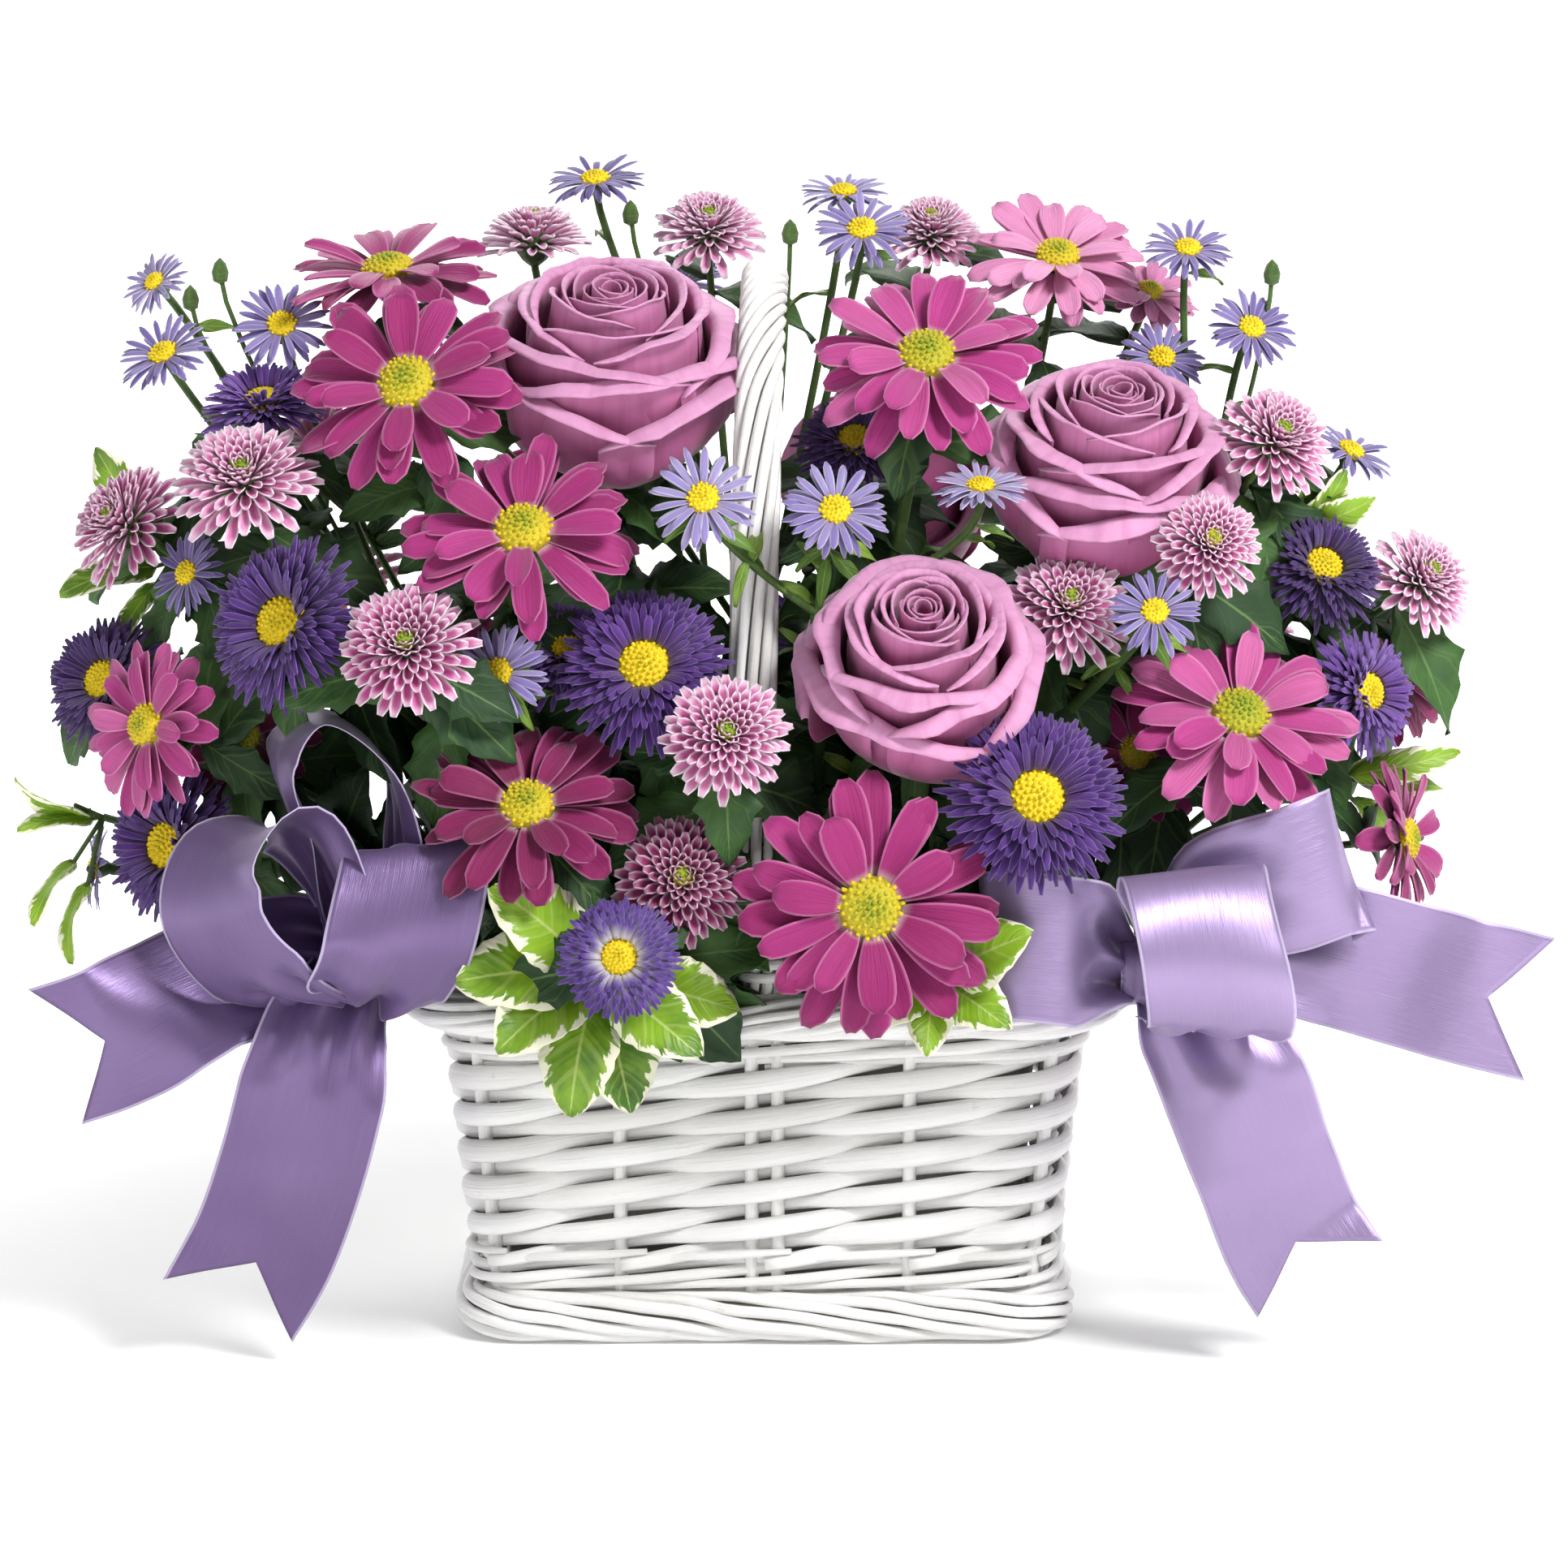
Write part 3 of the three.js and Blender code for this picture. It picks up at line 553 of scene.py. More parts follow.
class Finishes:
    """Every finish of the arrangement, made once."""

    def __init__(self) -> None:
        """Makes the materials."""
        self.rose = RoseFinish(
            "rose_petal", (0.30, 0.028, 0.14), (0.47, 0.10, 0.27), (0.63, 0.30, 0.50)
        ).made()
        self.daisy = PetalFinish(
            "daisy_petal",
            (
                (0.0, (0.14, 0.003, 0.045)),
                (0.3, (0.26, 0.006, 0.11)),
                (0.6, (0.44, 0.036, 0.23)),
                (1.0, (0.76, 0.33, 0.56)),
            ),
            heel=(0.80, 0.64, 0.68),
            edge=(0.84, 0.34, 0.60),
            edge_from=0.8,
            edge_share=0.45,
            heel_reach=0.2,
            deepen=0.55,
        ).made()
        self.button = PetalFinish(
            "button_petal",
            ((0.0, (0.30, 0.02, 0.13)), (0.5, (0.60, 0.09, 0.34)), (1.0, (0.90, 0.40, 0.66))),
            heel=(0.40, 0.06, 0.22),
            edge=(0.96, 0.82, 0.92),
            edge_share=1.0,
            edge_from=0.4,
            tip_share=0.75,
            deepen=0.3,
        ).made()
        self.china_aster = PetalFinish(
            "china_aster_petal",
            (
                (0.0, (0.030, 0.006, 0.080)),
                (0.5, (0.085, 0.018, 0.22)),
                (1.0, (0.21, 0.075, 0.44)),
            ),
            heel=(0.11, 0.045, 0.22),
            edge=(0.33, 0.17, 0.62),
            edge_share=0.6,
        ).made()
        self.pale_heeled_aster = PetalFinish(
            "pale_heeled_aster_petal",
            ((0.0, (0.05, 0.012, 0.19)), (1.0, (0.14, 0.045, 0.40))),
            heel=(0.88, 0.84, 0.90),
            edge=(0.27, 0.13, 0.55),
            heel_reach=0.95,
        ).made()
        self.small_aster = PetalFinish(
            "small_aster_petal",
            ((0.0, (0.085, 0.045, 0.25)), (0.5, (0.27, 0.20, 0.54)), (1.0, (0.52, 0.45, 0.74))),
            heel=(0.66, 0.60, 0.80),
            edge=(0.80, 0.76, 0.92),
            edge_share=0.65,
            edge_from=0.5,
        ).made()
        self.button_eye = FloretFinish("floret", (0.24, 0.33, 0.02), (0.74, 0.56, 0.015)).made()
        self.golden_eye = FloretFinish(
            "golden_floret", (0.58, 0.48, 0.01), (0.92, 0.68, 0.01)
        ).made()
        self.stem = GreenFinish(
            "stem", (0.045, 0.11, 0.02), (0.12, 0.22, 0.05), (0.14, 0.22, 0.06)
        ).made()
        self.stem_leaf = GreenFinish(
            "stem_leaf", (0.012, 0.045, 0.010), (0.045, 0.12, 0.022), (0.10, 0.19, 0.05),
            roughness=0.58,
        ).made()
        self.bright_leaf = GreenFinish(
            "bright_leaf", (0.09, 0.19, 0.02), (0.24, 0.38, 0.04), (0.34, 0.46, 0.12)
        ).made()
        self.cream_leaf = GreenFinish(
            "cream_edged_leaf",
            (0.05, 0.15, 0.010),
            (0.24, 0.42, 0.02),
            (0.42, 0.54, 0.14),
            cream=(0.88, 0.87, 0.66),
            roughness=0.34,
        ).made()
        self.willow = WillowFinish(
            "white_willow", (0.97, 0.965, 0.955), (0.86, 0.845, 0.82), (0.60, 0.52, 0.42)
        ).made()
        # The cores of the borders and the handle: a dark willow that is painted shade, seen in the
        # gaps between the rods laid over them.
        self.painted_shade_core = WillowFinish(
            "painted_shade_willow", (0.42, 0.40, 0.37), (0.24, 0.22, 0.20), (0.20, 0.16, 0.12)
        ).made()
        self.satin = SatinFinish(
            "lavender_satin", (0.45, 0.345, 0.58), (0.145, 0.088, 0.225), (0.66, 0.58, 0.78)
        ).made()
        self.liner = PlainFinish(
            "liner", (0.15, 0.14, 0.12), (0.26, 0.24, 0.21), scale=60, relief=0.0002, roughness=0.35
        ).made()
        self.foam = PlainFinish(
            "foam", (0.03, 0.085, 0.03), (0.08, 0.17, 0.06), scale=900, relief=0.0009,
            roughness=0.85,
        ).made()
        self.wire = PlainFinish(
            "wire", (0.03, 0.09, 0.03), (0.06, 0.14, 0.05), scale=400, relief=0.0001, roughness=0.4,
            metallic=0.3,
        ).made()


# ---------- workpiece


class Workpiece:
    """A bmesh in millimetres, with the layers that the finishes read.

    "run" is where a point lies on its own petal, leaf, ribbon or rod: for a sheet how far
    along it, from 0 to 1, and how far across, from -1 to 1, and for a rod the millimetres
    along it and its unit circle. "tone" is a shade from 0 to 1.
    """

    def __init__(self) -> None:
        """Starts an empty piece."""
        self.bm = bmesh.new()
        self.run = self.bm.verts.layers.float_vector.new("run")
        self.tone = self.bm.verts.layers.float.new("tone")

    def dressed(self, verts: Iterable[bmesh.types.BMVert], finish: int) -> None:
        """Gives the faces of the vertices their finish, and shades them smooth.

        Args:
            verts: the vertices.
            finish: the place of the finish among the piece's.
        """
        for face in {face for vert in verts for face in vert.link_faces}:
            face.material_index = finish
            face.smooth = True

    def sheet(
        self,
        along: int,
        across: int,
        bend: Callable[[float, float], Vector],
        tone: float = 0.5,
        finish: int = 0,
        length: float = 1.0,
    ) -> None:
        """Adds a grid, bent to a petal, a leaf or a strip of ribbon.

        Args:
            along: how many faces long it is.
            across: how many faces wide it is.
            bend: the place of the point at (0 to 1 along, -1 to 1 across).
            tone: its shade.
            finish: which of the piece's finishes it has.
            length: what the "run" layer says at its far end.
        """
        verts = bmesh.ops.create_grid(
            self.bm, x_segments=along, y_segments=across, size=0.5
        )["verts"]
        for vert in verts:
            u, v = vert.co.x + 0.5, vert.co.y * 2
            vert.co = bend(u, v)
            vert[self.run] = Vector((u * length, v, 0))
            vert[self.tone] = tone
        self.dressed(verts, finish)

    def rod(
        self,
        steps: int,
        path: Callable[[float], Vector],
        size: Callable[[float], tuple[float, float]],
        tone: float = 0.5,
        finish: int = 0,
        sides: int = 8,
        lean: Optional[Callable[[float], Vector]] = None,
    ) -> None:
        """Adds a round bar, bent along a path.

        Args:
            steps: how many lengths it has.
            path: the middle of the bar at a share of its length.
            size: its two half sizes there, along `lean` and across it.
            tone: its shade.
            finish: which of the piece's finishes it has.
            sides: how many faces go round it.
            lean: the way its first half size is measured, there.
        """
        own = Workpiece()
        bmesh.ops.create_cone(own.bm, cap_ends=True, segments=sides, radius1=1, radius2=1, depth=1)
        lengthwise = [e for e in own.bm.edges if abs(e.verts[0].co.z - e.verts[1].co.z) > 0.5]
        bmesh.ops.subdivide_edges(own.bm, edges=lengthwise, cuts=steps - 1)
        centres = [path(i / steps) for i in range(steps + 1)]
        frames = []
        travelled = 0.0
        across = None
        for i, centre in enumerate(centres):
            ahead = centres[min(i + 1, steps)] - centres[max(i - 1, 0)]
            travelled += (centre - centres[max(i - 1, 0)]).length
            ahead.normalize()
            want = lean(i / steps) if lean else (across or ahead.orthogonal())
            across = (want - ahead * want.dot(ahead)).normalized()
            frames.append((centre, across, ahead.cross(across), size(i / steps), travelled))
        for vert in own.bm.verts:
            x, y = vert.co.x, vert.co.y
            centre, first, second, (wide, deep), run = frames[round((vert.co.z + 0.5) * steps)]
            vert.co = centre + first * (x * wide) + second * (y * deep)
            vert[own.run] = Vector((run, x, y))
            vert[own.tone] = tone
        own.dressed(own.bm.verts, finish)
        self.absorb(own)

    def turned(
        self,
        profile: Sequence[tuple[float, float]],
        matrix: Matrix,
        sides: int,
        tone: float = 0.5,
        finish: int = 0,
    ) -> None:
        """Spins a half section round +Z, and puts it in place.

        Args:
            profile: the section's (radius, height) points.
            matrix: where it goes.
            sides: how many faces go round it.
            tone: its shade.
            finish: which of the piece's finishes it has.
        """
        other = Workpiece()
        made = [other.bm.verts.new((radius, 0, height)) for radius, height in profile]
        edges = [other.bm.edges.new(pair) for pair in zip(made, made[1:])]
        bmesh.ops.spin(
            other.bm, geom=made + edges, axis=UP, cent=(0, 0, 0), angle=math.tau,
            steps=sides, use_merge=True,
        )
        bmesh.ops.remove_doubles(other.bm, verts=other.bm.verts, dist=1e-4)
        bmesh.ops.recalc_face_normals(other.bm, faces=other.bm.faces)
        for vert in other.bm.verts:
            vert[other.run] = Vector((vert.co.z, vert.co.x, vert.co.y))
            vert[other.tone] = tone
        other.dressed(other.bm.verts, finish)
        self.absorb(other, matrix)

    def thickened(self, thick: float) -> None:
        """Gives every sheet so far a thickness."""
        bmesh.ops.solidify(self.bm, geom=self.bm.faces[:], thickness=thick)
        bmesh.ops.recalc_face_normals(self.bm, faces=self.bm.faces)

    def absorb(self, other: "Workpiece", matrix: Matrix = Matrix.Identity(4)) -> None:
        """Takes in another workpiece.

        Args:
            other: the workpiece, which is used up.
            matrix: where it goes.
        """
        bmesh.ops.transform(other.bm, matrix=matrix, verts=other.bm.verts)
        mesh = bpy.data.meshes.new("taken_in")
        other.bm.to_mesh(mesh)
        other.bm.free()
        self.bm.from_mesh(mesh)
        bpy.data.meshes.remove(mesh)
        self.run = self.bm.verts.layers.float_vector["run"]
        self.tone = self.bm.verts.layers.float["tone"]

    def mesh(self, name: str, looks: Sequence[bpy.types.Material]) -> bpy.types.Mesh:
        """Ends the work, and makes its mesh in metres.

        Args:
            name: the mesh's name.
            looks: its materials, in the order of its finishes.

        Returns:
            The mesh.
        """
        bmesh.ops.scale(self.bm, vec=(MM, MM, MM), verts=self.bm.verts)
        mesh = bpy.data.meshes.new(name)
        self.bm.to_mesh(mesh)
        self.bm.free()
        for look in looks:
            mesh.materials.append(look)
        return mesh

    def finished(
        self, name: str, looks: Sequence[bpy.types.Material], slot: str, node: str
    ) -> bpy.types.Object:
        """Makes the piece.

        Args:
            name: the piece's name.
            looks: its materials, in the order of its finishes.
            slot: the record's material slot of the piece; not used.
            node: the CAD node that it stands for.

        Returns:
            The finished object, in metres.
        """
        piece = linked(name, self.mesh(name, looks))
        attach(piece, "root")
        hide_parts(node)
        return piece


# ---------- petals


@dataclass(frozen=True)
class Petal:
    """The shape of one ray petal, in millimetres and degrees."""

    length: float
    width: float
    lift: float = 12  # how far its heel looks up
    droop: float = 22  # how much lower its tip looks
    belly: float = 0.62  # where it is widest
    heel: float = 0.4  # its width at the heel, as a share
    blunt: float = 0.3  # its width at the very tip, as a share
    curl: float = 0.35  # half the angle that its section bends through, in radians
    furrow: float = 0.0  # how deep its two long grooves are
    along: int = 8
    across: int = 4

    def width_at(self, u: float) -> float:
        """Half its width at a share of its length."""
        if u < self.belly:
            share = self.heel + (1 - self.heel) * math.sin(math.pi / 2 * u / self.belly)
        else:
            past = (u - self.belly) / (1 - self.belly)
            share = self.blunt + (1 - self.blunt) * math.sqrt(max(0.0, 1 - past**2.4))
        return self.width / 2 * share

    def model(
        self,
        work: Workpiece,
        out: float,
        high: float,
        turn: float,
        tone: float,
        finish: int,
        twist: float = 0.0,
    ) -> None:
        """Adds the petal round a head.

        Args:
            work: the head, whose axis is +Z.
            out: how far from the axis its heel is.
            high: how high its heel is.
            turn: which way it points, in radians.
            tone: its shade.
            finish: its finish.
            twist: how far its tip is turned about its length, in radians.
        """
        middle, angles = [(out, high)], []
        for i in range(self.along + 1):
            share = i / self.along
            angle = math.radians(self.lift - self.droop * share**1.4)
            angles.append(angle)
            reach, height = middle[-1]
            step = self.length / self.along
            middle.append((reach + step * math.cos(angle), height + step * math.sin(angle)))
        cos, sin = math.cos(turn), math.sin(turn)

        def bend(u: float, v: float) -> Vector:
            """A point of the petal."""
            at = round(u * self.along)
            reach, height = middle[at]
            half = self.width_at(u)
            sweep = v * self.curl
            side = half * math.sin(sweep) / self.curl
            raised = half * (1 - math.cos(sweep)) / self.curl
            if abs(v) < 0.7:
                raised -= self.furrow * math.sin(math.pi * u) * math.cos(3 * math.pi * v)
            swing = twist * u * u
            side, raised = (
                side * math.cos(swing) - raised * math.sin(swing),
                side * math.sin(swing) + raised * math.cos(swing),
            )
            reach -= raised * math.sin(angles[at])
            height += raised * math.cos(angles[at])
            return Vector((reach * cos - side * sin, reach * sin + side * cos, height))

        work.sheet(self.along, self.across, bend, tone, finish)


@dataclass(frozen=True)
class RosePetal:
    """One petal of a rose: a cupped wall, and a lip that rolls outwards."""

    turn: float  # which way it faces, in radians
    span: float  # half the angle that it wraps, in radians
    reach: float  # how far from the axis its wall ends
    crest: float  # how high its wall ends
    roll: float  # how far its lip rolls, in radians
    lip: float  # the roll's radius
    flange: float  # the straight length beyond the roll
    fullness: float  # how far out the wall bulges on its way up
    sag: float  # how much lower its two sides end
    corner: float  # how far its two corners stand out, as a share
    seed: float

    BASE = -40.0
    WALL = 0.66  # the share of its length that is wall
    ARC = 0.6  # the share of the lip that is rolled

    def spot(self, u: float, v: float) -> Vector:
        """A point of the petal.

        Args:
            u: its share of the petal's length.
            v: how far across it is, from -1 to 1.

        Returns:
            The point, for a rose whose axis is +Z.
        """
        side = abs(v)
        crest = self.crest - self.sag * side**2.6
        bulge = self.reach * self.fullness + 1.5
        low = self.BASE + 0.18 * (crest - self.BASE)
        if u <= self.WALL:
            s = u / self.WALL
            radius = (1 - s) ** 2 * 2.5 + 2 * (1 - s) * s * bulge + s * s * self.reach
            height = (1 - s) ** 2 * self.BASE + 2 * (1 - s) * s * low + s * s * crest
        else:
            past = (u - self.WALL) / (1 - self.WALL)
            lean = math.atan2(self.reach - bulge, crest - low)
            roll = self.roll * (0.82 + 0.3 * side) * min(past / self.ARC, 1.0)
            lip = self.lip * (1 - 0.6 * side**4)
            outward, upward = lip * (1 - math.cos(roll)), lip * math.sin(roll)
            if past > self.ARC:
                point = 1 + 0.7 * math.exp(-((v / 0.2) ** 2))
                straight = self.flange * (past - self.ARC) / (1 - self.ARC) * point
                straight *= 1 - side**3
                outward += straight * math.sin(roll)
                upward += straight * math.cos(roll)
            radius = self.reach + outward * math.cos(lean) + upward * math.sin(lean)
            height = crest - outward * math.sin(lean) + upward * math.cos(lean)
        angle = self.turn + self.span * v * (0.4 + 0.6 * ease(u / 0.5))
        stretch = 1 + self.corner * (v * v - 0.25) * ease(u * 1.3)
        place = Vector((math.cos(angle) * radius, math.sin(angle) * radius, height))
        wave = noise.noise(place * 0.09 + Vector((self.seed, 0, 0))) * 0.06 * ease(u * 1.2)
        place.x *= stretch + wave
        place.y *= stretch + wave
        place.z += noise.noise(place * 0.11 + Vector((0, self.seed, 0))) * 1.2 * u
        return place


# ---------- the heads


class Part(Enum):
    """Which finish of a spray each of its parts has: the order of its materials."""

    PETAL = 0
    EYE = 1
    STEM = 2
    LEAF = 3


@dataclass(frozen=True)
class Head:
    """One flower head: where it is, how it looks, and how wide it is across half of it."""

    x: float
    y: float
    z: float
    pitch: float
    yaw: float
    radius: float
    tone: float = 0.5

    SLOT = ""  # the record's material slot for this kind of flower
    DEPTH = 6.0  # from the petals down to the end of the stem
    THICK = 0.35  # of a petal

    @property
    def axis(self) -> Vector:
        """The way that it looks."""
        return facing(self.pitch, self.yaw)

    @property
    def seat(self) -> Vector:
        """Where its stem ends."""
        return Vector((self.x, self.y, self.z)) - self.axis * self.DEPTH

    def shade(self, rng: random.Random, spread: float = 0.07) -> float:
        """The head's tone, a little different for each petal."""
        return min(max(self.tone + rng.uniform(-spread, spread), 0.0), 1.0)

    def model(self, work: Workpiece, rng: random.Random) -> None:
        """Builds the head along +Z, round the origin."""
        raise NotImplementedError

    def placed(self, piece: Workpiece, rng: random.Random) -> None:
        """Builds the head where it belongs.

        Args:
            piece: what it is added to.
            rng: the source of its random numbers.
        """
        own = Workpiece()
        self.model(own, rng)
        spin = Matrix.Rotation(rng.uniform(0, math.tau), 4, "Z")
        piece.absorb(own, stand(Vector((self.x, self.y, self.z)), self.axis) @ spin)

    def eye(
        self, work: Workpiece, radius: float, dome: float, high: float, florets: int, tone: float
    ) -> None:
        """Adds the button in the middle: a dome that is covered in small florets.

        Args:
            work: the head.
            radius: the button's radius.
            dome: how high it is domed.
            high: how high it sits.
            florets: how many florets it has.
            tone: how yellow its rim is.
        """
        work.turned(
            [(0.01, high - 2), (radius, high - 1), (radius * 0.8, high + dome * 0.55),
             (radius * 0.45, high + dome * 0.85), (0.01, high + dome * 0.95)],
            Matrix.Identity(4), 12, tone * 0.7, Part.EYE.value,
        )
        size = 0.95 * radius / math.sqrt(florets)
        for i in range(florets):
            share = math.sqrt((i + 0.5) / florets)
            lean = Vector((math.cos(i * GOLDEN), math.sin(i * GOLDEN), 0)) * share
            spot = lean * radius * 0.97 + UP * (high + dome * (1 - share**2.2))
            self.floret(work, spot, UP + lean * 0.9, size, tone * (0.25 + 0.75 * share))

    @staticmethod
    def floret(work: Workpiece, spot: Vector, axis: Vector, size: float, tone: float) -> None:
        """Adds one floret, a short blunt cone.

        Args:
            work: the head.
            spot: the cone's middle.
            axis: where it points.
            size: its radius at the bottom.
            tone: its shade.
        """
        matrix = stand(spot, axis)
        verts = bmesh.ops.create_cone(
            work.bm, cap_ends=True, segments=5, radius1=size, radius2=size * 0.55,
            depth=size * 2.2, matrix=matrix,
        )["verts"]
        for vert in verts:
            vert[work.tone] = tone
        work.dressed(verts, Part.EYE.value)

    def calyx(
        self, work: Workpiece, radius: float, depth: float, stem: float, high: float = 0.0
    ) -> None:
        """Adds the green cup under the petals.

        Args:
            work: the head.
            radius: the cup's radius.
            depth: how deep it is.
            stem: its radius where the stem joins it.
            high: how high its rim is.
        """
        profile = [(0.01, 0.5), (radius, 0.2), (radius * 0.95, -0.3 * depth),
                   (radius * 0.5, -0.8 * depth), (stem, -depth), (0.01, -depth)]
        work.turned(profile, Matrix.Translation((0, 0, high)), 10, 0.4, Part.STEM.value)


class DaisyHead(Head):
    """A daisy chrysanthemum: three layers of grooved petals round a green and yellow button."""

    SLOT = "daisy"
    EYE = 0.235  # the button's radius, as a share of the head's
    LAYERS = (  # petals, length as a share, lift, droop and height
        (13, 1.0, -1, 12, -1.4), (11, 0.9, 10, 22, 0.0), (6, 0.74, 24, 26, 1.2),
    )

    def model(self, work: Workpiece, rng: random.Random) -> None:
        """Builds the head along +Z, round the origin."""
        size = self.radius
        eye = size * self.EYE
        base = Petal(size - eye * 0.7, size * 0.27, belly=0.66, heel=0.3, blunt=0.3, furrow=0.28,
                     curl=0.5, along=9, across=6)
        for number, long, lift, droop, high in self.LAYERS:
            start = rng.uniform(0, math.tau)
            for i in range(number):
                petal = replace(
                    base,
                    length=base.length * long * rng.uniform(0.84, 1.04),
                    width=base.width * rng.uniform(0.8, 1.1),
                    lift=lift + rng.uniform(-6, 9),
                    droop=droop + rng.uniform(-16, 16),
                    curl=rng.uniform(0.25, 0.75),
                )
                turn = start + math.tau * (i + rng.uniform(-0.24, 0.24)) / number
                petal.model(
                    work, eye * 0.7, high, turn, self.shade(rng, 0.1), Part.PETAL.value,
                    rng.uniform(-0.5, 0.5),
                )
        work.thickened(self.THICK)
        self.eye(work, eye, eye * 0.42, 1.4, 70, 0.55 + 0.4 * rng.random())
        self.calyx(work, eye * 0.9, 6.5, 1.6)


class ButtonHead(Head):
    """A button chrysanthemum: a dome of many small spooned petals with white edges."""

    SLOT = "button"
    DEPTH = 8.0
    THICK = 0.28
    PETALS = 118

    def model(self, work: Workpiece, rng: random.Random) -> None:
        """Builds the head along +Z, round the origin."""
        size, number = self.radius, self.PETALS
        for i in range(number):
            share = (i + 3) / (number + 3)
            petal = Petal(
                length=size * mixed(0.20, 0.66, share**0.8) * rng.uniform(0.92, 1.06),
                width=size * mixed(0.13, 0.20, share),
                lift=mixed(84, 2, share**0.75) + rng.uniform(-7, 7),
                droop=mixed(-6, 18, share) + rng.uniform(-12, 12),
                belly=0.74, heel=0.45, blunt=0.45, curl=1.15, along=5, across=4,
            )
            out = size * 0.36 * math.sqrt(share)
            high = 7.5 * (1 - share**1.5)
            shade = self.shade(rng, 0.12) * mixed(0.5, 1.0, share)
            petal.model(work, out, high - 4, i * GOLDEN, shade, Part.PETAL.value)
        work.thickened(self.THICK)
        self.eye(work, size * 0.17, 1.6, 5.2, 22, 0.15 + 0.6 * rng.random())
        self.calyx(work, size * 0.42, 8.5, 1.5)


class ChinaAsterHead(Head):
    """A China aster: a thick ruff of narrow violet petals round a golden button."""

    SLOT = "china_aster"
    THICK = 0.25
    PETALS = 180
    EYE = 0.33

    def model(self, work: Workpiece, rng: random.Random) -> None:
        """Builds the head along +Z, round the origin."""
        size, number = self.radius, self.PETALS
        eye = size * self.EYE
        for i in range(number):
            share = (i + 1) / number
            petal = Petal(
                length=size * mixed(0.34, 0.74, share**0.7) * rng.uniform(0.9, 1.05),
                width=size * 0.094 * rng.uniform(0.85, 1.15),
                lift=mixed(62, -6, share**0.9) + rng.uniform(-9, 9),
                droop=mixed(34, 14, share) + rng.uniform(-14, 14),
                belly=0.7, heel=0.6, blunt=0.4, curl=0.8, along=5, across=2,
            )
            out = eye * mixed(0.86, 1.0, share)
            high = mixed(2.6, -2.8, share)
            petal.model(work, out, high, i * GOLDEN, self.shade(rng, 0.16), Part.PETAL.value)
        work.thickened(self.THICK)
        self.eye(work, eye, 2.6, 0.8, 80, 0.9)
        self.calyx(work, eye * 0.95, 7, 1.5)


class SmallAsterHead(Head):
    """A small aster: a loose ring of thin lavender rays round a yellow button."""

    SLOT = "small_aster"
    DEPTH = 4.0
    THICK = 0.22
    EYE = 0.29
    RINGS = ((18, 1.0, 2, -0.6), (17, 0.95, 14, 0.2))  # rays, length as a share, lift, height

    def model(self, work: Workpiece, rng: random.Random) -> None:
        """Builds the head along +Z, round the origin."""
        size = self.radius
        eye = size * self.EYE
        for number, long, lift, high in self.RINGS:
            start = rng.uniform(0, math.tau)
            for i in range(number):
                petal = Petal(
                    length=(size - eye * 0.8) * long * rng.uniform(0.88, 1.05),
                    width=size * 0.148 * rng.uniform(0.8, 1.15),
                    lift=lift + rng.uniform(-9, 9),
                    droop=22 + rng.uniform(-16, 18),
                    belly=0.55, heel=0.5, blunt=0.22, curl=0.5, along=6, across=2,
                )
                turn = start + math.tau * (i + rng.uniform(-0.25, 0.25)) / number
                petal.model(work, eye * 0.8, high, turn, self.shade(rng, 0.14), Part.PETAL.value)
        work.thickened(self.THICK)
        self.eye(work, eye, 1.5, 0.6, 42, 0.9)
        self.calyx(work, eye * 0.9, 5, 0.9)


@dataclass(frozen=True)
class Tier:
    """A run of a rose's petals. Each pair is what its first and its last petal have."""

    number: int
    span: tuple[float, float]
    reach: tuple[float, float]  # as a share of the rose's radius
    crest: tuple[float, float]
    roll: tuple[float, float]
    lip: tuple[float, float]
    flange: tuple[float, float]
    fullness: float
    sag: float
    corner: float
    tone: float
    fine: int


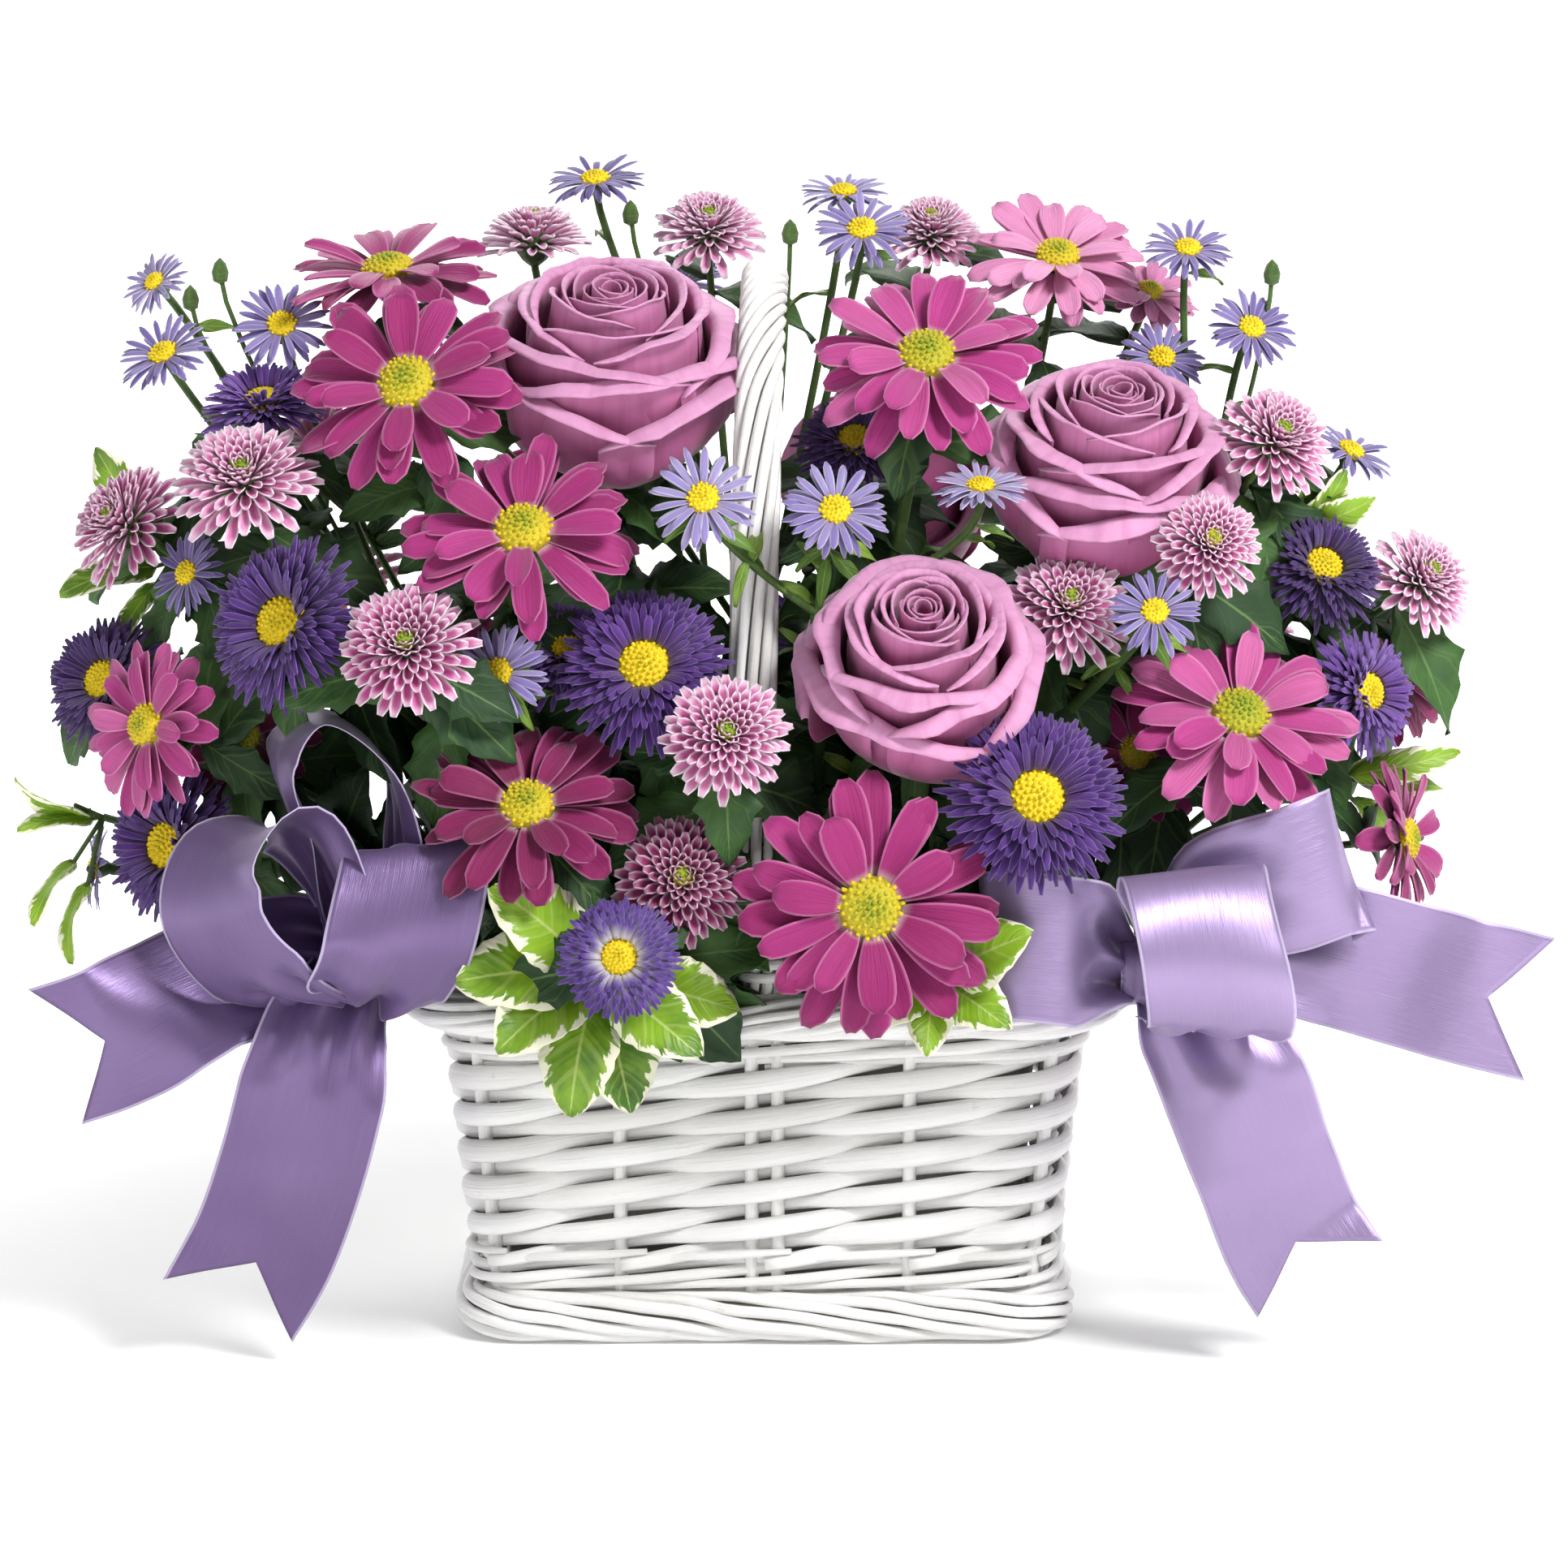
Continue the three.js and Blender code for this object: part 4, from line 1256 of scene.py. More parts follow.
class RoseHead(Head):
    """An open rose: petals that wrap a tight heart and roll their lips out as they open."""

    SLOT = "rose"
    DEPTH = 38.0
    THICK = 0.5
    SEPALS = 5
    TIERS = (
        Tier(7, (120, 95), (0.05, 0.17), (13.5, 13.5), (15, 40), (0.5, 0.8), (0.2, 0.4),
             1.6, 2.0, 0.0, 0.3, 12),
        Tier(8, (85, 70), (0.20, 0.36), (14.0, 12.0), (40, 85), (0.8, 1.2), (0.4, 1.0),
             1.35, 2.5, 0.05, 0.5, 14),
        Tier(6, (72, 64), (0.42, 0.54), (11.0, 6.5), (80, 118), (1.3, 1.7), (1.0, 2.2),
             1.25, 3.0, 0.16, 0.8, 16),
        Tier(5, (70, 68), (0.60, 0.69), (3.5, -1.5), (112, 135), (1.8, 2.2), (2.8, 3.6),
             1.2, 6.0, 0.24, 1.0, 20),
        Tier(4, (74, 72), (0.73, 0.79), (-5.0, -10.0), (118, 140), (2.2, 2.6), (3.8, 4.6),
             1.12, 7.0, 0.27, 1.0, 20),
    )

    def model(self, work: Workpiece, rng: random.Random) -> None:
        """Builds the head along +Z, round the origin."""
        turn = 0.0
        for tier in self.TIERS:
            for k in range(tier.number):
                share = (k + 0.5) / tier.number
                turn += GOLDEN + rng.uniform(-0.14, 0.14)
                petal = RosePetal(
                    turn=turn,
                    span=math.radians(mixed(*tier.span, share) * rng.uniform(0.94, 1.06)),
                    reach=self.radius * mixed(*tier.reach, share),
                    crest=mixed(*tier.crest, share) + rng.uniform(-0.7, 0.7),
                    roll=math.radians(mixed(*tier.roll, share) + rng.uniform(-12, 12)),
                    lip=mixed(*tier.lip, share),
                    flange=mixed(*tier.flange, share),
                    fullness=tier.fullness,
                    sag=tier.sag,
                    corner=tier.corner,
                    seed=rng.uniform(0, 90),
                )
                work.sheet(
                    tier.fine, tier.fine, petal.spot, tier.tone + rng.uniform(-0.1, 0.1),
                    Part.PETAL.value,
                )
        work.thickened(self.THICK)
        self.calyx(work, 8, 8, 2.8, -35)
        for i in range(self.SEPALS):
            sepal = Petal(20, 8, lift=-35, droop=30 + rng.uniform(0, 25), belly=0.3, heel=0.6,
                          blunt=0.05, curl=0.5, along=8, across=4)
            own = Workpiece()
            turn = i * math.tau / self.SEPALS
            sepal.model(own, 6, -38, turn, 0.4, Part.STEM.value)
            own.thickened(0.4)
            work.absorb(own)


# ---------- stems and leaves


@dataclass(frozen=True)
class Blade:
    """One leaf blade, from its heel to its tip."""

    heel: Vector
    tip: Vector
    face: Vector  # what its upper side looks towards
    width: float  # over its length
    arch: float = 0.1  # how high it arches, over its length
    fold: float = 0.25  # how steeply its two halves rise from the rib
    lobes: int = 0
    lobe: float = 0.0  # how deep its edge is cut
    tone: float = 0.5
    slim: float = 0.75  # how pointed its outline is

    def model(self, work: Workpiece, finish: int) -> None:
        """Adds the blade.

        Args:
            work: what it is added to.
            finish: which of the piece's finishes it has.
        """
        along = self.tip - self.heel
        length = along.length
        across = along.cross(self.face).normalized()
        normal = across.cross(along).normalized()

        def bend(u: float, v: float) -> Vector:
            """A point of the blade."""
            half = self.width * length / 2 * math.sin(math.pi * min(u, 0.995) ** 0.8) ** self.slim
            half = max(half, 0.25)
            if self.lobes:
                half *= 1 - self.lobe * abs(math.sin(math.pi * self.lobes * u))
            side = abs(v)
            high = self.arch * length * math.sin(math.pi * u) + self.fold * half * side
            high += 0.05 * length * math.sin(7 * u + 2 * v) * side
            return self.heel + along * u + across * (half * v) + normal * high

        work.sheet(14 if self.lobes else 10, 4, bend, self.tone, finish)


@dataclass
class Spray:
    """One flower or spray: heads on a forked stem that stands in the foam."""

    name: str
    heads: list[Head]
    root: Optional[Spot] = None
    fork: Optional[Spot] = None
    greens: int = 11  # the leaves along its main stem
    collar: int = 7  # the leaves behind each head
    buds: list[Spot] = field(default_factory=list)
    reaching: list[Spot] = field(default_factory=list)  # more leaves' tips
    pale_heels: bool = False

    NECK = 16.0  # the straight length behind a head
    BRANCH = 1.1  # the radius of a branch that is one of several
    LEAF_THICK = 0.35
    FORK_AT = 0.45
    SPREAD = (0.38, 0.3)  # how the stems fan out of the foam
    SOCKET = 104.0
    CROWN = 262.0  # the heads above this height stand clear, with fewer leaves

    @property
    def slot(self) -> str:
        """The record's material slot for its kind of flower."""
        return self.heads[0].SLOT

    @property
    def seat(self) -> Vector:
        """The middle of its heads' seats."""
        return sum((head.seat for head in self.heads), Vector()) / len(self.heads)

    @property
    def start(self) -> Vector:
        """Where its stem ends in the foam."""
        if self.root:
            return Vector(self.root)
        seat = self.seat
        return Vector((seat.x * self.SPREAD[0], seat.y * self.SPREAD[1], self.SOCKET))

    @property
    def branching(self) -> Vector:
        """Where its stem forks."""
        if self.fork:
            return Vector(self.fork)
        return self.start.lerp(self.seat, self.FORK_AT)

    @property
    def thick(self) -> float:
        """The stem's radius."""
        return 2.6 if self.slot == "rose" else 1.8

    def made(self, finishes: Finishes) -> bpy.types.Object:
        """Builds the spray.

        Args:
            finishes: the finishes to dress it in.

        Returns:
            The finished piece.
        """
        rng = random.Random(self.name)
        work = Workpiece()
        for head in self.heads:
            head.placed(work, rng)
        self.stems(work)
        self.leaves(work, rng)
        petals = {
            "rose": finishes.rose, "daisy": finishes.daisy, "button": finishes.button,
            "china_aster": finishes.china_aster, "small_aster": finishes.small_aster,
        }[self.slot]
        if self.pale_heels:
            petals = finishes.pale_heeled_aster
        eye = finishes.button_eye if self.slot in ("daisy", "button") else finishes.golden_eye
        leaf = finishes.bright_leaf if self.slot == "small_aster" else finishes.stem_leaf
        looks = (petals, eye, finishes.stem, leaf)
        return work.finished(self.name + "_flowers", looks, self.slot, self.name)

    def stems(self, work: Workpiece) -> None:
        """Adds the main stem, its branches and its buds."""
        start, fork, stem = self.start, self.branching, Part.STEM.value
        branch = self.thick if len(self.heads) == 1 else self.BRANCH
        work.rod(4, lambda t: start.lerp(fork, t), lambda t: (self.thick,) * 2, 0.3, stem, 6)
        for head in self.heads:
            seat, neck = head.seat, head.seat - head.axis * self.NECK
            work.rod(8, lambda t: bent(fork, neck, seat, t), lambda t: (branch,) * 2, 0.6, stem, 6)
        for bud in self.buds:
            top = Vector(bud)
            neck = top - UP * self.NECK
            work.rod(6, lambda t: bent(fork, neck, top, t), lambda t: (0.7, 0.7), 0.6, stem, 5)
            profile = [(0.01, -3), (2.0, -2), (2.4, 0.5), (1.6, 3), (0.01, 4.6)]
            work.turned(profile, Matrix.Translation(top), 8, 0.7, stem)

    def leaves(self, work: Workpiece, rng: random.Random) -> None:
        """Adds the leaves.

        Some grow along the main stem, a loose collar of them behind each head, and a few
        reach for a given spot from the nearest place on the stems.

        Args:
            work: the spray.
            rng: the source of its random numbers.
        """
        start, fork = self.start, self.branching
        own = Workpiece()
        for i in range(self.greens):
            heel = start.lerp(fork, mixed(0.3, 1.0, (i + 0.5) / self.greens))
            away = (heel - HEART).normalized()
            turn = Vector([rng.uniform(-1.0, 1.0) for _ in range(3)]).normalized()
            aside = (turn - away * turn.dot(away) * 0.8).normalized()
            along = (aside + away * rng.uniform(-0.1, 0.35)).normalized()
            self.leaf(own, rng, heel, along, away + UP * 0.3 + turn * 0.3, rng.uniform(30, 44))
        for head in self.heads:
            seat, axis = head.seat, head.axis
            neck = seat - axis * self.NECK
            reach = (seat - fork).length
            number = self.collar if head.z < self.CROWN else self.collar // 2
            for i in range(number):
                behind = rng.uniform(8, min(46, reach * 0.8))
                heel = bent(fork, neck, seat, 1 - behind / reach)
                angle = i * GOLDEN + rng.uniform(-0.4, 0.4)
                round_axis = Vector((math.cos(angle), math.sin(angle), 0))
                aside = stand(heel, axis).to_3x3() @ round_axis
                along = (aside - axis * rng.uniform(0.15, 0.6) - UP * 0.1).normalized()
                self.leaf(own, rng, heel, along, axis + aside * 0.4, rng.uniform(28, 40))
        for spot in self.reaching:
            tip = Vector(spot)
            nodes = [start.lerp(fork, i / 12) for i in range(4, 13)]
            for head in self.heads:
                neck = head.seat - head.axis * self.NECK
                nodes += [bent(fork, neck, head.seat, i / 12) for i in range(10)]
            heel = min(nodes, key=lambda node: (node - tip).length)
            long = (tip - heel).length
            self.leaf(own, rng, heel, (tip - heel) / long, Vector((0, -1, 0.5)), long)
        own.thickened(self.LEAF_THICK)
        work.absorb(own)

    def leaf(
        self,
        work: Workpiece,
        rng: random.Random,
        heel: Vector,
        along: Vector,
        face: Vector,
        long: float,
    ) -> None:
        """Adds one leaf: lobed, or small and narrow on the small asters.

        Args:
            work: the leaves so far.
            rng: the source of its random numbers.
            heel: where it grows from.
            along: where it points.
            face: what its upper side looks towards.
            long: how long it is, or would be if it isn't small.
        """
        small = self.slot == "small_aster"
        Blade(
            heel, heel + along * long * (0.4 if small else 1.0), face.normalized(),
            width=0.26 if small else rng.uniform(0.5, 0.66),
            arch=rng.uniform(0.04, 0.16), lobes=0 if small else 4, lobe=0.26,
            tone=rng.uniform(0.1, 0.8),
        ).model(work, Part.LEAF.value)


class Green(Enum):
    """Which finish of a sprig each of its parts has: the order of its materials."""

    BLADE = 0
    STALK = 1


@dataclass
class Sprig:
    """A sprig of cream-edged leaves on one stem."""

    name: str
    fork: Spot
    face: tuple[float, float]  # the pitch and yaw of the leaves' upper sides
    leaves: list[tuple[float, float, float, float]]  # each one's tip and length
    root: Optional[Spot] = None
    width: float = 0.62  # of a leaf, over its length
    tone: float = 0.5

    LEAF_THICK = 0.4
    STEM = 1.1  # its radius
    STALK = 0.7

    def made(self, finishes: Finishes) -> bpy.types.Object:
        """Builds the sprig.

        Args:
            finishes: the finishes to dress it in.

        Returns:
            The finished piece.
        """
        rng = random.Random(self.name)
        fork = Vector(self.fork)
        fan = Spray.SPREAD
        root = Vector(self.root or (fork.x * fan[0], fork.y * fan[1], Spray.SOCKET))
        work = Workpiece()
        for x, y, z, length in self.leaves:
            tip = Vector((x, y, z))
            along = (tip - fork).normalized()
            face = facing(self.face[0] + rng.uniform(-14, 14), self.face[1] + rng.uniform(-14, 14))
            Blade(
                tip - along * length * 1.15, tip, face, self.width * rng.uniform(0.9, 1.1),
                arch=rng.uniform(0.06, 0.14), fold=0.2, lobes=5, lobe=0.1,
                tone=self.tone + rng.uniform(-0.25, 0.25), slim=0.58,
            ).model(work, Green.BLADE.value)
        work.thickened(self.LEAF_THICK)
        stalk = Green.STALK.value
        work.rod(8, lambda t: root.lerp(fork, t), lambda t: (self.STEM,) * 2, 0.5, stalk, 6)
        for x, y, z, length in self.leaves:
            tip = Vector((x, y, z))
            heel = tip - (tip - fork).normalized() * length * 0.9
            work.rod(3, lambda t: fork.lerp(heel, t), lambda t: (self.STALK,) * 2, 0.8, stalk, 5)
        looks = (finishes.cream_leaf, finishes.stem)
        return work.finished(self.name + "_sprig", looks, "leaf", self.name)


# ---------- the bows


@dataclass
class Strip:
    """A length of ribbon through its stations.

    A station is the ribbon's middle, the way across it, and the share of its width that it
    spreads over there. A share under 1 gathers it into pleats.
    """

    stations: list[tuple[float, float, float, float, float, float, float]]
    notch: float = 0.0  # how far a swallow tail is cut in, on a tail

    NOTCH = 15.0  # the cut of the bows' tails
    WIDTH = 40.0
    PLEATS = 2.5  # the waves over its width where it is gathered
    DEEPEST = 2.6  # a pleat's depth at most
    RIPPLE = 2.6  # how far the ribbon waves along its length
    TAIL_RIPPLE = 2.2  # how much more a tail waves
    CROWN = 0.9  # how far its edges fall behind its middle
    WINDOW = 0.05  # the share of its length that its direction is taken over
    ALONG = 44
    ACROSS = 24

    def middle(self, u: float) -> Vector:
        """The middle of the ribbon at a share of its length."""
        return through([Vector(station[:3]) for station in self.stations], u)

    def length(self) -> float:
        """How long the ribbon is."""
        spots = [self.middle(i / 60) for i in range(61)]
        return sum((b - a).length for a, b in zip(spots, spots[1:]))

    def between(self, u: float) -> tuple[Vector, float]:
        """How the ribbon lies at a share of its length.

        Args:
            u: the share.

        Returns:
            The way across the ribbon, and its share of width.
        """
        place = min(max(u, 0.0), 1.0) * (len(self.stations) - 1)
        at = min(int(place), len(self.stations) - 2)
        share = ease(place - at) * 0.5 + (place - at) * 0.5
        low, high = self.stations[at], self.stations[at + 1]
        return Vector(low[3:6]).lerp(Vector(high[3:6]), share), mixed(low[6], high[6], share)

    def model(self, work: Workpiece, seed: float, tone: float) -> None:
        """Adds the strip, as a sheet with no thickness.

        Args:
            work: the bow.
            seed: what sets its pleats and ripples apart from the other strips'.
            tone: how far it goes from the satin's dark colour to its light one, painted shade and
                light.
        """
        length = self.length()

        def bend(u: float, v: float) -> Vector:
            """A point of the ribbon."""
            u *= 1 - self.notch / length * (1 - abs(v))
            ahead = self.middle(min(u + self.WINDOW, 1)) - self.middle(max(u - self.WINDOW, 0))
            ahead.normalize()
            across, share = self.between(u)
            across = (across - ahead * across.dot(ahead)).normalized()
            normal = ahead.cross(across)
            spread = self.WIDTH * min(share, 1.0)
            slack = max(0.0, (self.WIDTH / spread) ** 2 - 1)
            deep = spread / (math.tau * self.PLEATS) * math.sqrt(2 * slack)
            deep = min(deep, self.DEEPEST)
            pleat = deep * math.cos(math.pi * self.PLEATS * v + seed)
            wave = noise.noise(Vector((u * 3.2, v * 0.7, seed)))
            ripple = self.RIPPLE * wave * ease(u * 4) * ease(4 - u * 4)
            if self.notch:
                wave = noise.noise(Vector((u * 2.6 + v * 0.5, 7, seed)))
                ripple += self.TAIL_RIPPLE * wave * ease(u * 3)
            crown = -self.CROWN * v * v * math.sin(math.pi * min(u * 1.4, 1))
            return self.middle(u) + across * (v * spread / 2) + normal * (pleat + ripple + crown)

        work.sheet(self.ALONG, self.ACROSS, bend, tone, 0, length)


@dataclass
class Bow:
    """A wired bow of satin ribbon: three loops and two tails, gathered in the middle."""

    name: str
    knot: Spot
    loops: list[Strip]
    tails: list[Strip]
    # how far its satin goes from the dark colour to the light one: painted shade on the left bow
    # and painted light on the right
    tone: float

    BAND = 60.0  # the length of the short band that holds the gathers
    BAND_RADIUS = 9.4
    BAND_HALF = 7  # half its gathered width
    THICK = 0.3  # of the ribbon

    def made(self, finishes: Finishes) -> bpy.types.Object:
        """Builds the bow.

        Args:
            finishes: the finishes to dress it in.

        Returns:
            The finished piece.
        """
        work = Workpiece()
        strips = self.loops + self.tails
        for number, strip in enumerate(strips):
            strip.model(work, number * 1.7 + len(self.name), self.tone)
        knot = Vector(self.knot)

        def band(u: float, v: float) -> Vector:
            """A point of the short band that holds the gathers."""
            angle = math.tau * u
            tight = self.BAND_RADIUS + 0.4 * math.cos(5 * angle) + 0.4 * math.cos(9 * v)
            side = math.cos(angle) * tight
            return knot + Vector((v * self.BAND_HALF, side, math.sin(angle) * tight))

        work.sheet(28, 8, band, 0.5, 0, self.BAND)
        work.thickened(self.THICK)
        ribbon = work.finished(
            self.name + "_satin", (finishes.satin,), "ribbon", self.name + "_ribbon"
        )
        total = sum(strip.length() for strip in strips) + self.BAND
        redressed(self.name + "_wire", finishes.wire)
        LOG.info("%s: %.0f mm of ribbon", self.name, total)
        return ribbon


# ---------- the basket


class Coat(Enum):
    """Which willow finish a rod has: the order of the basket's materials."""

    PAINTED = 0
    # the dark core under the borders and the handle: painted shade, seen in the gaps between the
    # rods laid over it
    SHADED = 1


@dataclass(frozen=True)
class Plan:
    """The rounded plan that every round of the basket follows, walked from its front middle."""

    core_x: float = 65.5
    core_y: float = 42.5
    guide: float = 20.0  # the corner radius that distances are measured at

    @property
    def around(self) -> float:
        """The way round."""
        return 4 * (self.core_x + self.core_y) + math.tau * self.guide

    def at(self, walked: float) -> tuple[Vector, Vector]:
        """Where a walk along the plan has come to.

        Args:
            walked: the distance, anticlockwise seen from above.

        Returns:
            The point of the plan's core, and the way straight out from it.
        """
        left = walked % self.around
        quarter = math.pi / 2 * self.guide
        x, y = self.core_x, self.core_y
        spots = [Vector((0, -y, 0)), Vector((x, -y, 0)), Vector((x, y, 0)), Vector((-x, y, 0)),
                 Vector((-x, -y, 0)), Vector((0, -y, 0))]
        for i, (start, end) in enumerate(zip(spots, spots[1:])):
            out = Vector((math.sin(math.pi / 2 * i), -math.cos(math.pi / 2 * i), 0))
            side = (end - start).length
            if left <= side or i == 4:
                return start.lerp(end, min(left / side, 1.0)), out
            left -= side
            if left <= quarter:
                turned = math.pi / 2 * i + left / self.guide
                return end, Vector((math.sin(turned), -math.cos(turned), 0))
            left -= quarter
        raise ValueError("the walk never ends")


@dataclass(frozen=True)
class Weave:
    """A band of rods that climb the stakes as they go round."""

    low: float
    high: float
    climb: float  # how far a rod rises from one stake to the next
    period: int  # it passes behind one stake in this many
    half_high: float
    half_thick: float
    swing: float  # how far it moves in and out


@dataclass(frozen=True)
class Rope:
    """A border of many rods laid round and round one core."""

    middle_out: float  # from the plan's core
    middle_up: float
    half_out: float
    half_up: float
    rods: int
    turns: float
    thick: float


@dataclass
class Basket:
    """The white willow basket: stakes, weave, borders, base and twisted handle."""

    plan: Plan = Plan()
    stakes: int = 14
    wall_bottom: float = 15.3
    wall_top: float = 88.0
    wall_out: float = 13.0  # the middle of the wall from the plan's core, at the bottom
    flare: float = 8.0
    waling: tuple[Weave, ...] = (
        Weave(12.5, 26.5, 2.7, 3, 1.75, 1.5, 2.6),
        Weave(79.0, 89.5, 2.7, 3, 1.75, 1.5, 2.6),
    )
    randing: Weave = Weave(22.6, 81.0, 5.3, 2, 3.2, 1.75, 2.9)
    rim: Rope = Rope(24.6, 94.6, 8.8, 4.7, 11, 31 / 11, 1.6)
    foot: Rope = Rope(15.4, 7.6, 4.3, 5.5, 9, -23 / 9, 1.65)
    handle_path: tuple[Spot, ...] = (
        (0, -61.5, 94), (0, -61.8, 102), (-3, -66, 165), (-1.5, -44, 262), (0, 0, 290),
        (-1.5, 44, 262), (-3, 66, 165), (0, 61.8, 102), (0, 61.5, 94),
    )

    PAIR = 3.6  # how far the two stakes at a foot of the handle stand from its middle
    ROPE_STEP = 4.5  # the length of one face of a border's rod
    ROPE_SKIN = 1.2  # how much slimmer a border's core is than the ring of its rods
    STICKS = (-56, -28, 0, 28, 56)  # where the base's long sticks lie
    ROWS = 25  # the rods woven over them
    BASE_UP = 4.2  # the middle of the base
    HANDLE_RODS = 9
    HANDLE_RING = 5.2  # the radius that they are laid at
    HANDLE_ROD = 1.5  # their radius
    HANDLE_CORE = 4.3
    BINDINGS = 3  # the turns of a rod round each foot of the handle

    def out_at(self, height: float) -> float:
        """The middle of the wall from the plan's core at a height."""
        share = (height - self.wall_bottom) / (self.wall_top - self.wall_bottom)
        return self.wall_out + self.flare * share

    def on_wall(self, walked: float, height: float, off: float) -> Vector:
        """A point off the middle of the wall."""
        core, out = self.plan.at(walked)
        return core + out * (self.out_at(height) + off) + UP * height

    def stake_spots(self) -> list[float]:
        """How far round each stake stands."""
        return [self.plan.around * i / self.stakes for i in range(self.stakes)]

    def weave(self, work: Workpiece, band: Weave, rng: random.Random) -> None:
        """Adds one band of rods, one from each stake.

        Args:
            work: the wall.
            band: the band.
            rng: the source of its random numbers.
        """
        gap = self.plan.around / self.stakes
        count = (band.high - band.low) / band.climb
        steps = int(count * 10)
        for first in range(self.stakes):
            tone = rng.uniform(0.35, 1.0)
            fat = rng.uniform(0.9, 1.08)
            shift = rng.uniform(0, 50)

            def path(t: float) -> Vector:
                """The middle of the rod at a share of its length."""
                passed = count * t
                wobble = noise.noise(Vector((passed * 1.3, shift, 0)))
                height = band.low + band.climb * passed + wobble * 0.35
                if band.period == 3:
                    wave = 0.35 - math.cos(math.tau * (passed - 0.5) / 3)
                else:
                    wave = math.cos(math.tau * passed / band.period)
                off = band.swing * wave + wobble * 0.2
                return self.on_wall(gap * (first + passed), height, off)

            def lean(t: float) -> Vector:
                """The way that the rod's height is measured."""
                return UP

            def size(t: float) -> tuple[float, float]:
                """The rod's half height and half thickness."""
                taper = min(1.0, 0.55 + 6 * t, 0.55 + 6 * (1 - t))
                lens = 0.9 + 0.14 * math.cos(math.tau * count * t / band.period)
                return band.half_high * fat * taper * lens, band.half_thick * fat * taper

            work.rod(steps, path, size, tone, Coat.PAINTED.value, 8, lean)

    def upright(self, work: Workpiece, rng: random.Random) -> None:
        """Adds the stakes, with a pair of them at each foot of the handle."""
        for walked in self.stake_spots():
            paired = walked == 0 or abs(walked - self.plan.around / 2) < 1
            for beside in (-self.PAIR, self.PAIR) if paired else (0,):
                work.rod(
                    8, lambda t: self.on_wall(walked + beside, mixed(9, 94, t), 0),
                    lambda t: (2.1, 1.7), rng.uniform(0.4, 0.9), Coat.PAINTED.value, 8,
                )

    def border(self, work: Workpiece, rope: Rope, rng: random.Random) -> None:
        """Adds a border: its rods, and the core that they are laid on.

        Args:
            work: the border.
            rope: its sizes.
            rng: the source of its random numbers.
        """
        around = self.plan.around
        steps = int(around / self.ROPE_STEP)
        for rod in range(rope.rods):
            shift = rng.uniform(0, 50)
            thick = rope.thick * rng.uniform(0.85, 1.12)

            def path(t: float) -> Vector:
                """The middle of the rod at a share of its length."""
                angle = math.tau * (rod / rope.rods + rope.turns * t)
                angle += 0.25 * noise.noise(Vector((t * 30, 0, shift)))
                core, out = self.plan.at(around * (t + 0.5))
                loose = 1 + 0.16 * noise.noise(Vector((t * 26, shift, 0)))
                off = rope.middle_out + rope.half_out * math.cos(angle) * loose
                high = max(rope.middle_up + rope.half_up * math.sin(angle) * loose, thick)
                return core + out * off + UP * high

            shade = rng.uniform(0.3, 1.0)
            work.rod(steps, path, lambda t: (thick, thick), shade, Coat.PAINTED.value, 8)

        def core_path(t: float) -> Vector:
            """The middle of the core at a share of its length."""
            core, out = self.plan.at(around * (t + 0.5))
            return core + out * rope.middle_out + UP * rope.middle_up

        def core_lean(t: float) -> Vector:
            """The way straight out from the core there."""
            return self.plan.at(around * (t + 0.5))[1]

        # The core is in the dark willow: painted shade in the gaps between the rods.
        size = (rope.half_out - self.ROPE_SKIN, rope.half_up - self.ROPE_SKIN)
        work.rod(steps, core_path, lambda t: size, 0.0, Coat.SHADED.value, 10, core_lean)

    def base(self, work: Workpiece, rng: random.Random) -> None:
        """Adds the base: rods woven over five long sticks."""
        painted = Coat.PAINTED.value
        for x in self.STICKS:
            work.rod(
                4, lambda t: Vector((x, mixed(-50, 50, t), self.BASE_UP)),
                lambda t: (2.0, 2.0), 0.5, painted, 8,
            )
        gap = self.STICKS[1] - self.STICKS[0]
        for row in range(self.ROWS):
            y = mixed(-48, 48, row / (self.ROWS - 1))
            reach = 72 if abs(y) < 40 else 72 - (abs(y) - 40) * 0.8
            side = 1 if row % 2 else -1

            def path(t: float) -> Vector:
                """The middle of the rod at a share of its length."""
                x = mixed(-reach, reach, t)
                return Vector((x, y, self.BASE_UP + side * 2.1 * math.cos(math.pi * x / gap)))

            work.rod(40, path, lambda t: (1.9, 1.9), rng.uniform(0.3, 0.9), painted, 6)

    def handle(self, work: Workpiece, rng: random.Random) -> None:
        """Adds the handle: rods laid steeply over its top and nearly straight down its sides."""
        spots = [Vector(spot) for spot in self.handle_path]

        def lean(t: float) -> Vector:
            """A direction across the hoop's plane."""
            return Vector((1, 0, 0))

        def ahead(t: float) -> Vector:
            """The way that the hoop runs."""
            before, after = through(spots, max(t - 0.01, 0)), through(spots, min(t + 0.01, 1))
            return (after - before).normalized()

        def laid(rod: int, t: float) -> Vector:
            """The middle of one rod at a share of its length."""
            from_top = t - 0.5
            start = math.tau * rod / self.HANDLE_RODS
            angle = start + 8.0 * math.tanh(from_top / 0.13) + 5.0 * from_top
            side = lean(t)
            front = ahead(t).cross(side).normalized()
            splay = 1 + 0.35 * ease(1 - min(t, 1 - t) / 0.05)
            offset = side * math.cos(angle) + front * math.sin(angle)
            return through(spots, t) + offset * self.HANDLE_RING * splay

        painted, painted_shade_coat = Coat.PAINTED.value, Coat.SHADED.value
        # The handle's rods take darker tones than the wall's: painted shade that tones down the
        # brightly lit handle. Each rod's tone is random within that range.
        for rod in range(self.HANDLE_RODS):
            work.rod(
                150, lambda t: laid(rod, t), lambda t: (self.HANDLE_ROD,) * 2,
                rng.uniform(0.0, 0.8), painted, 8,
            )
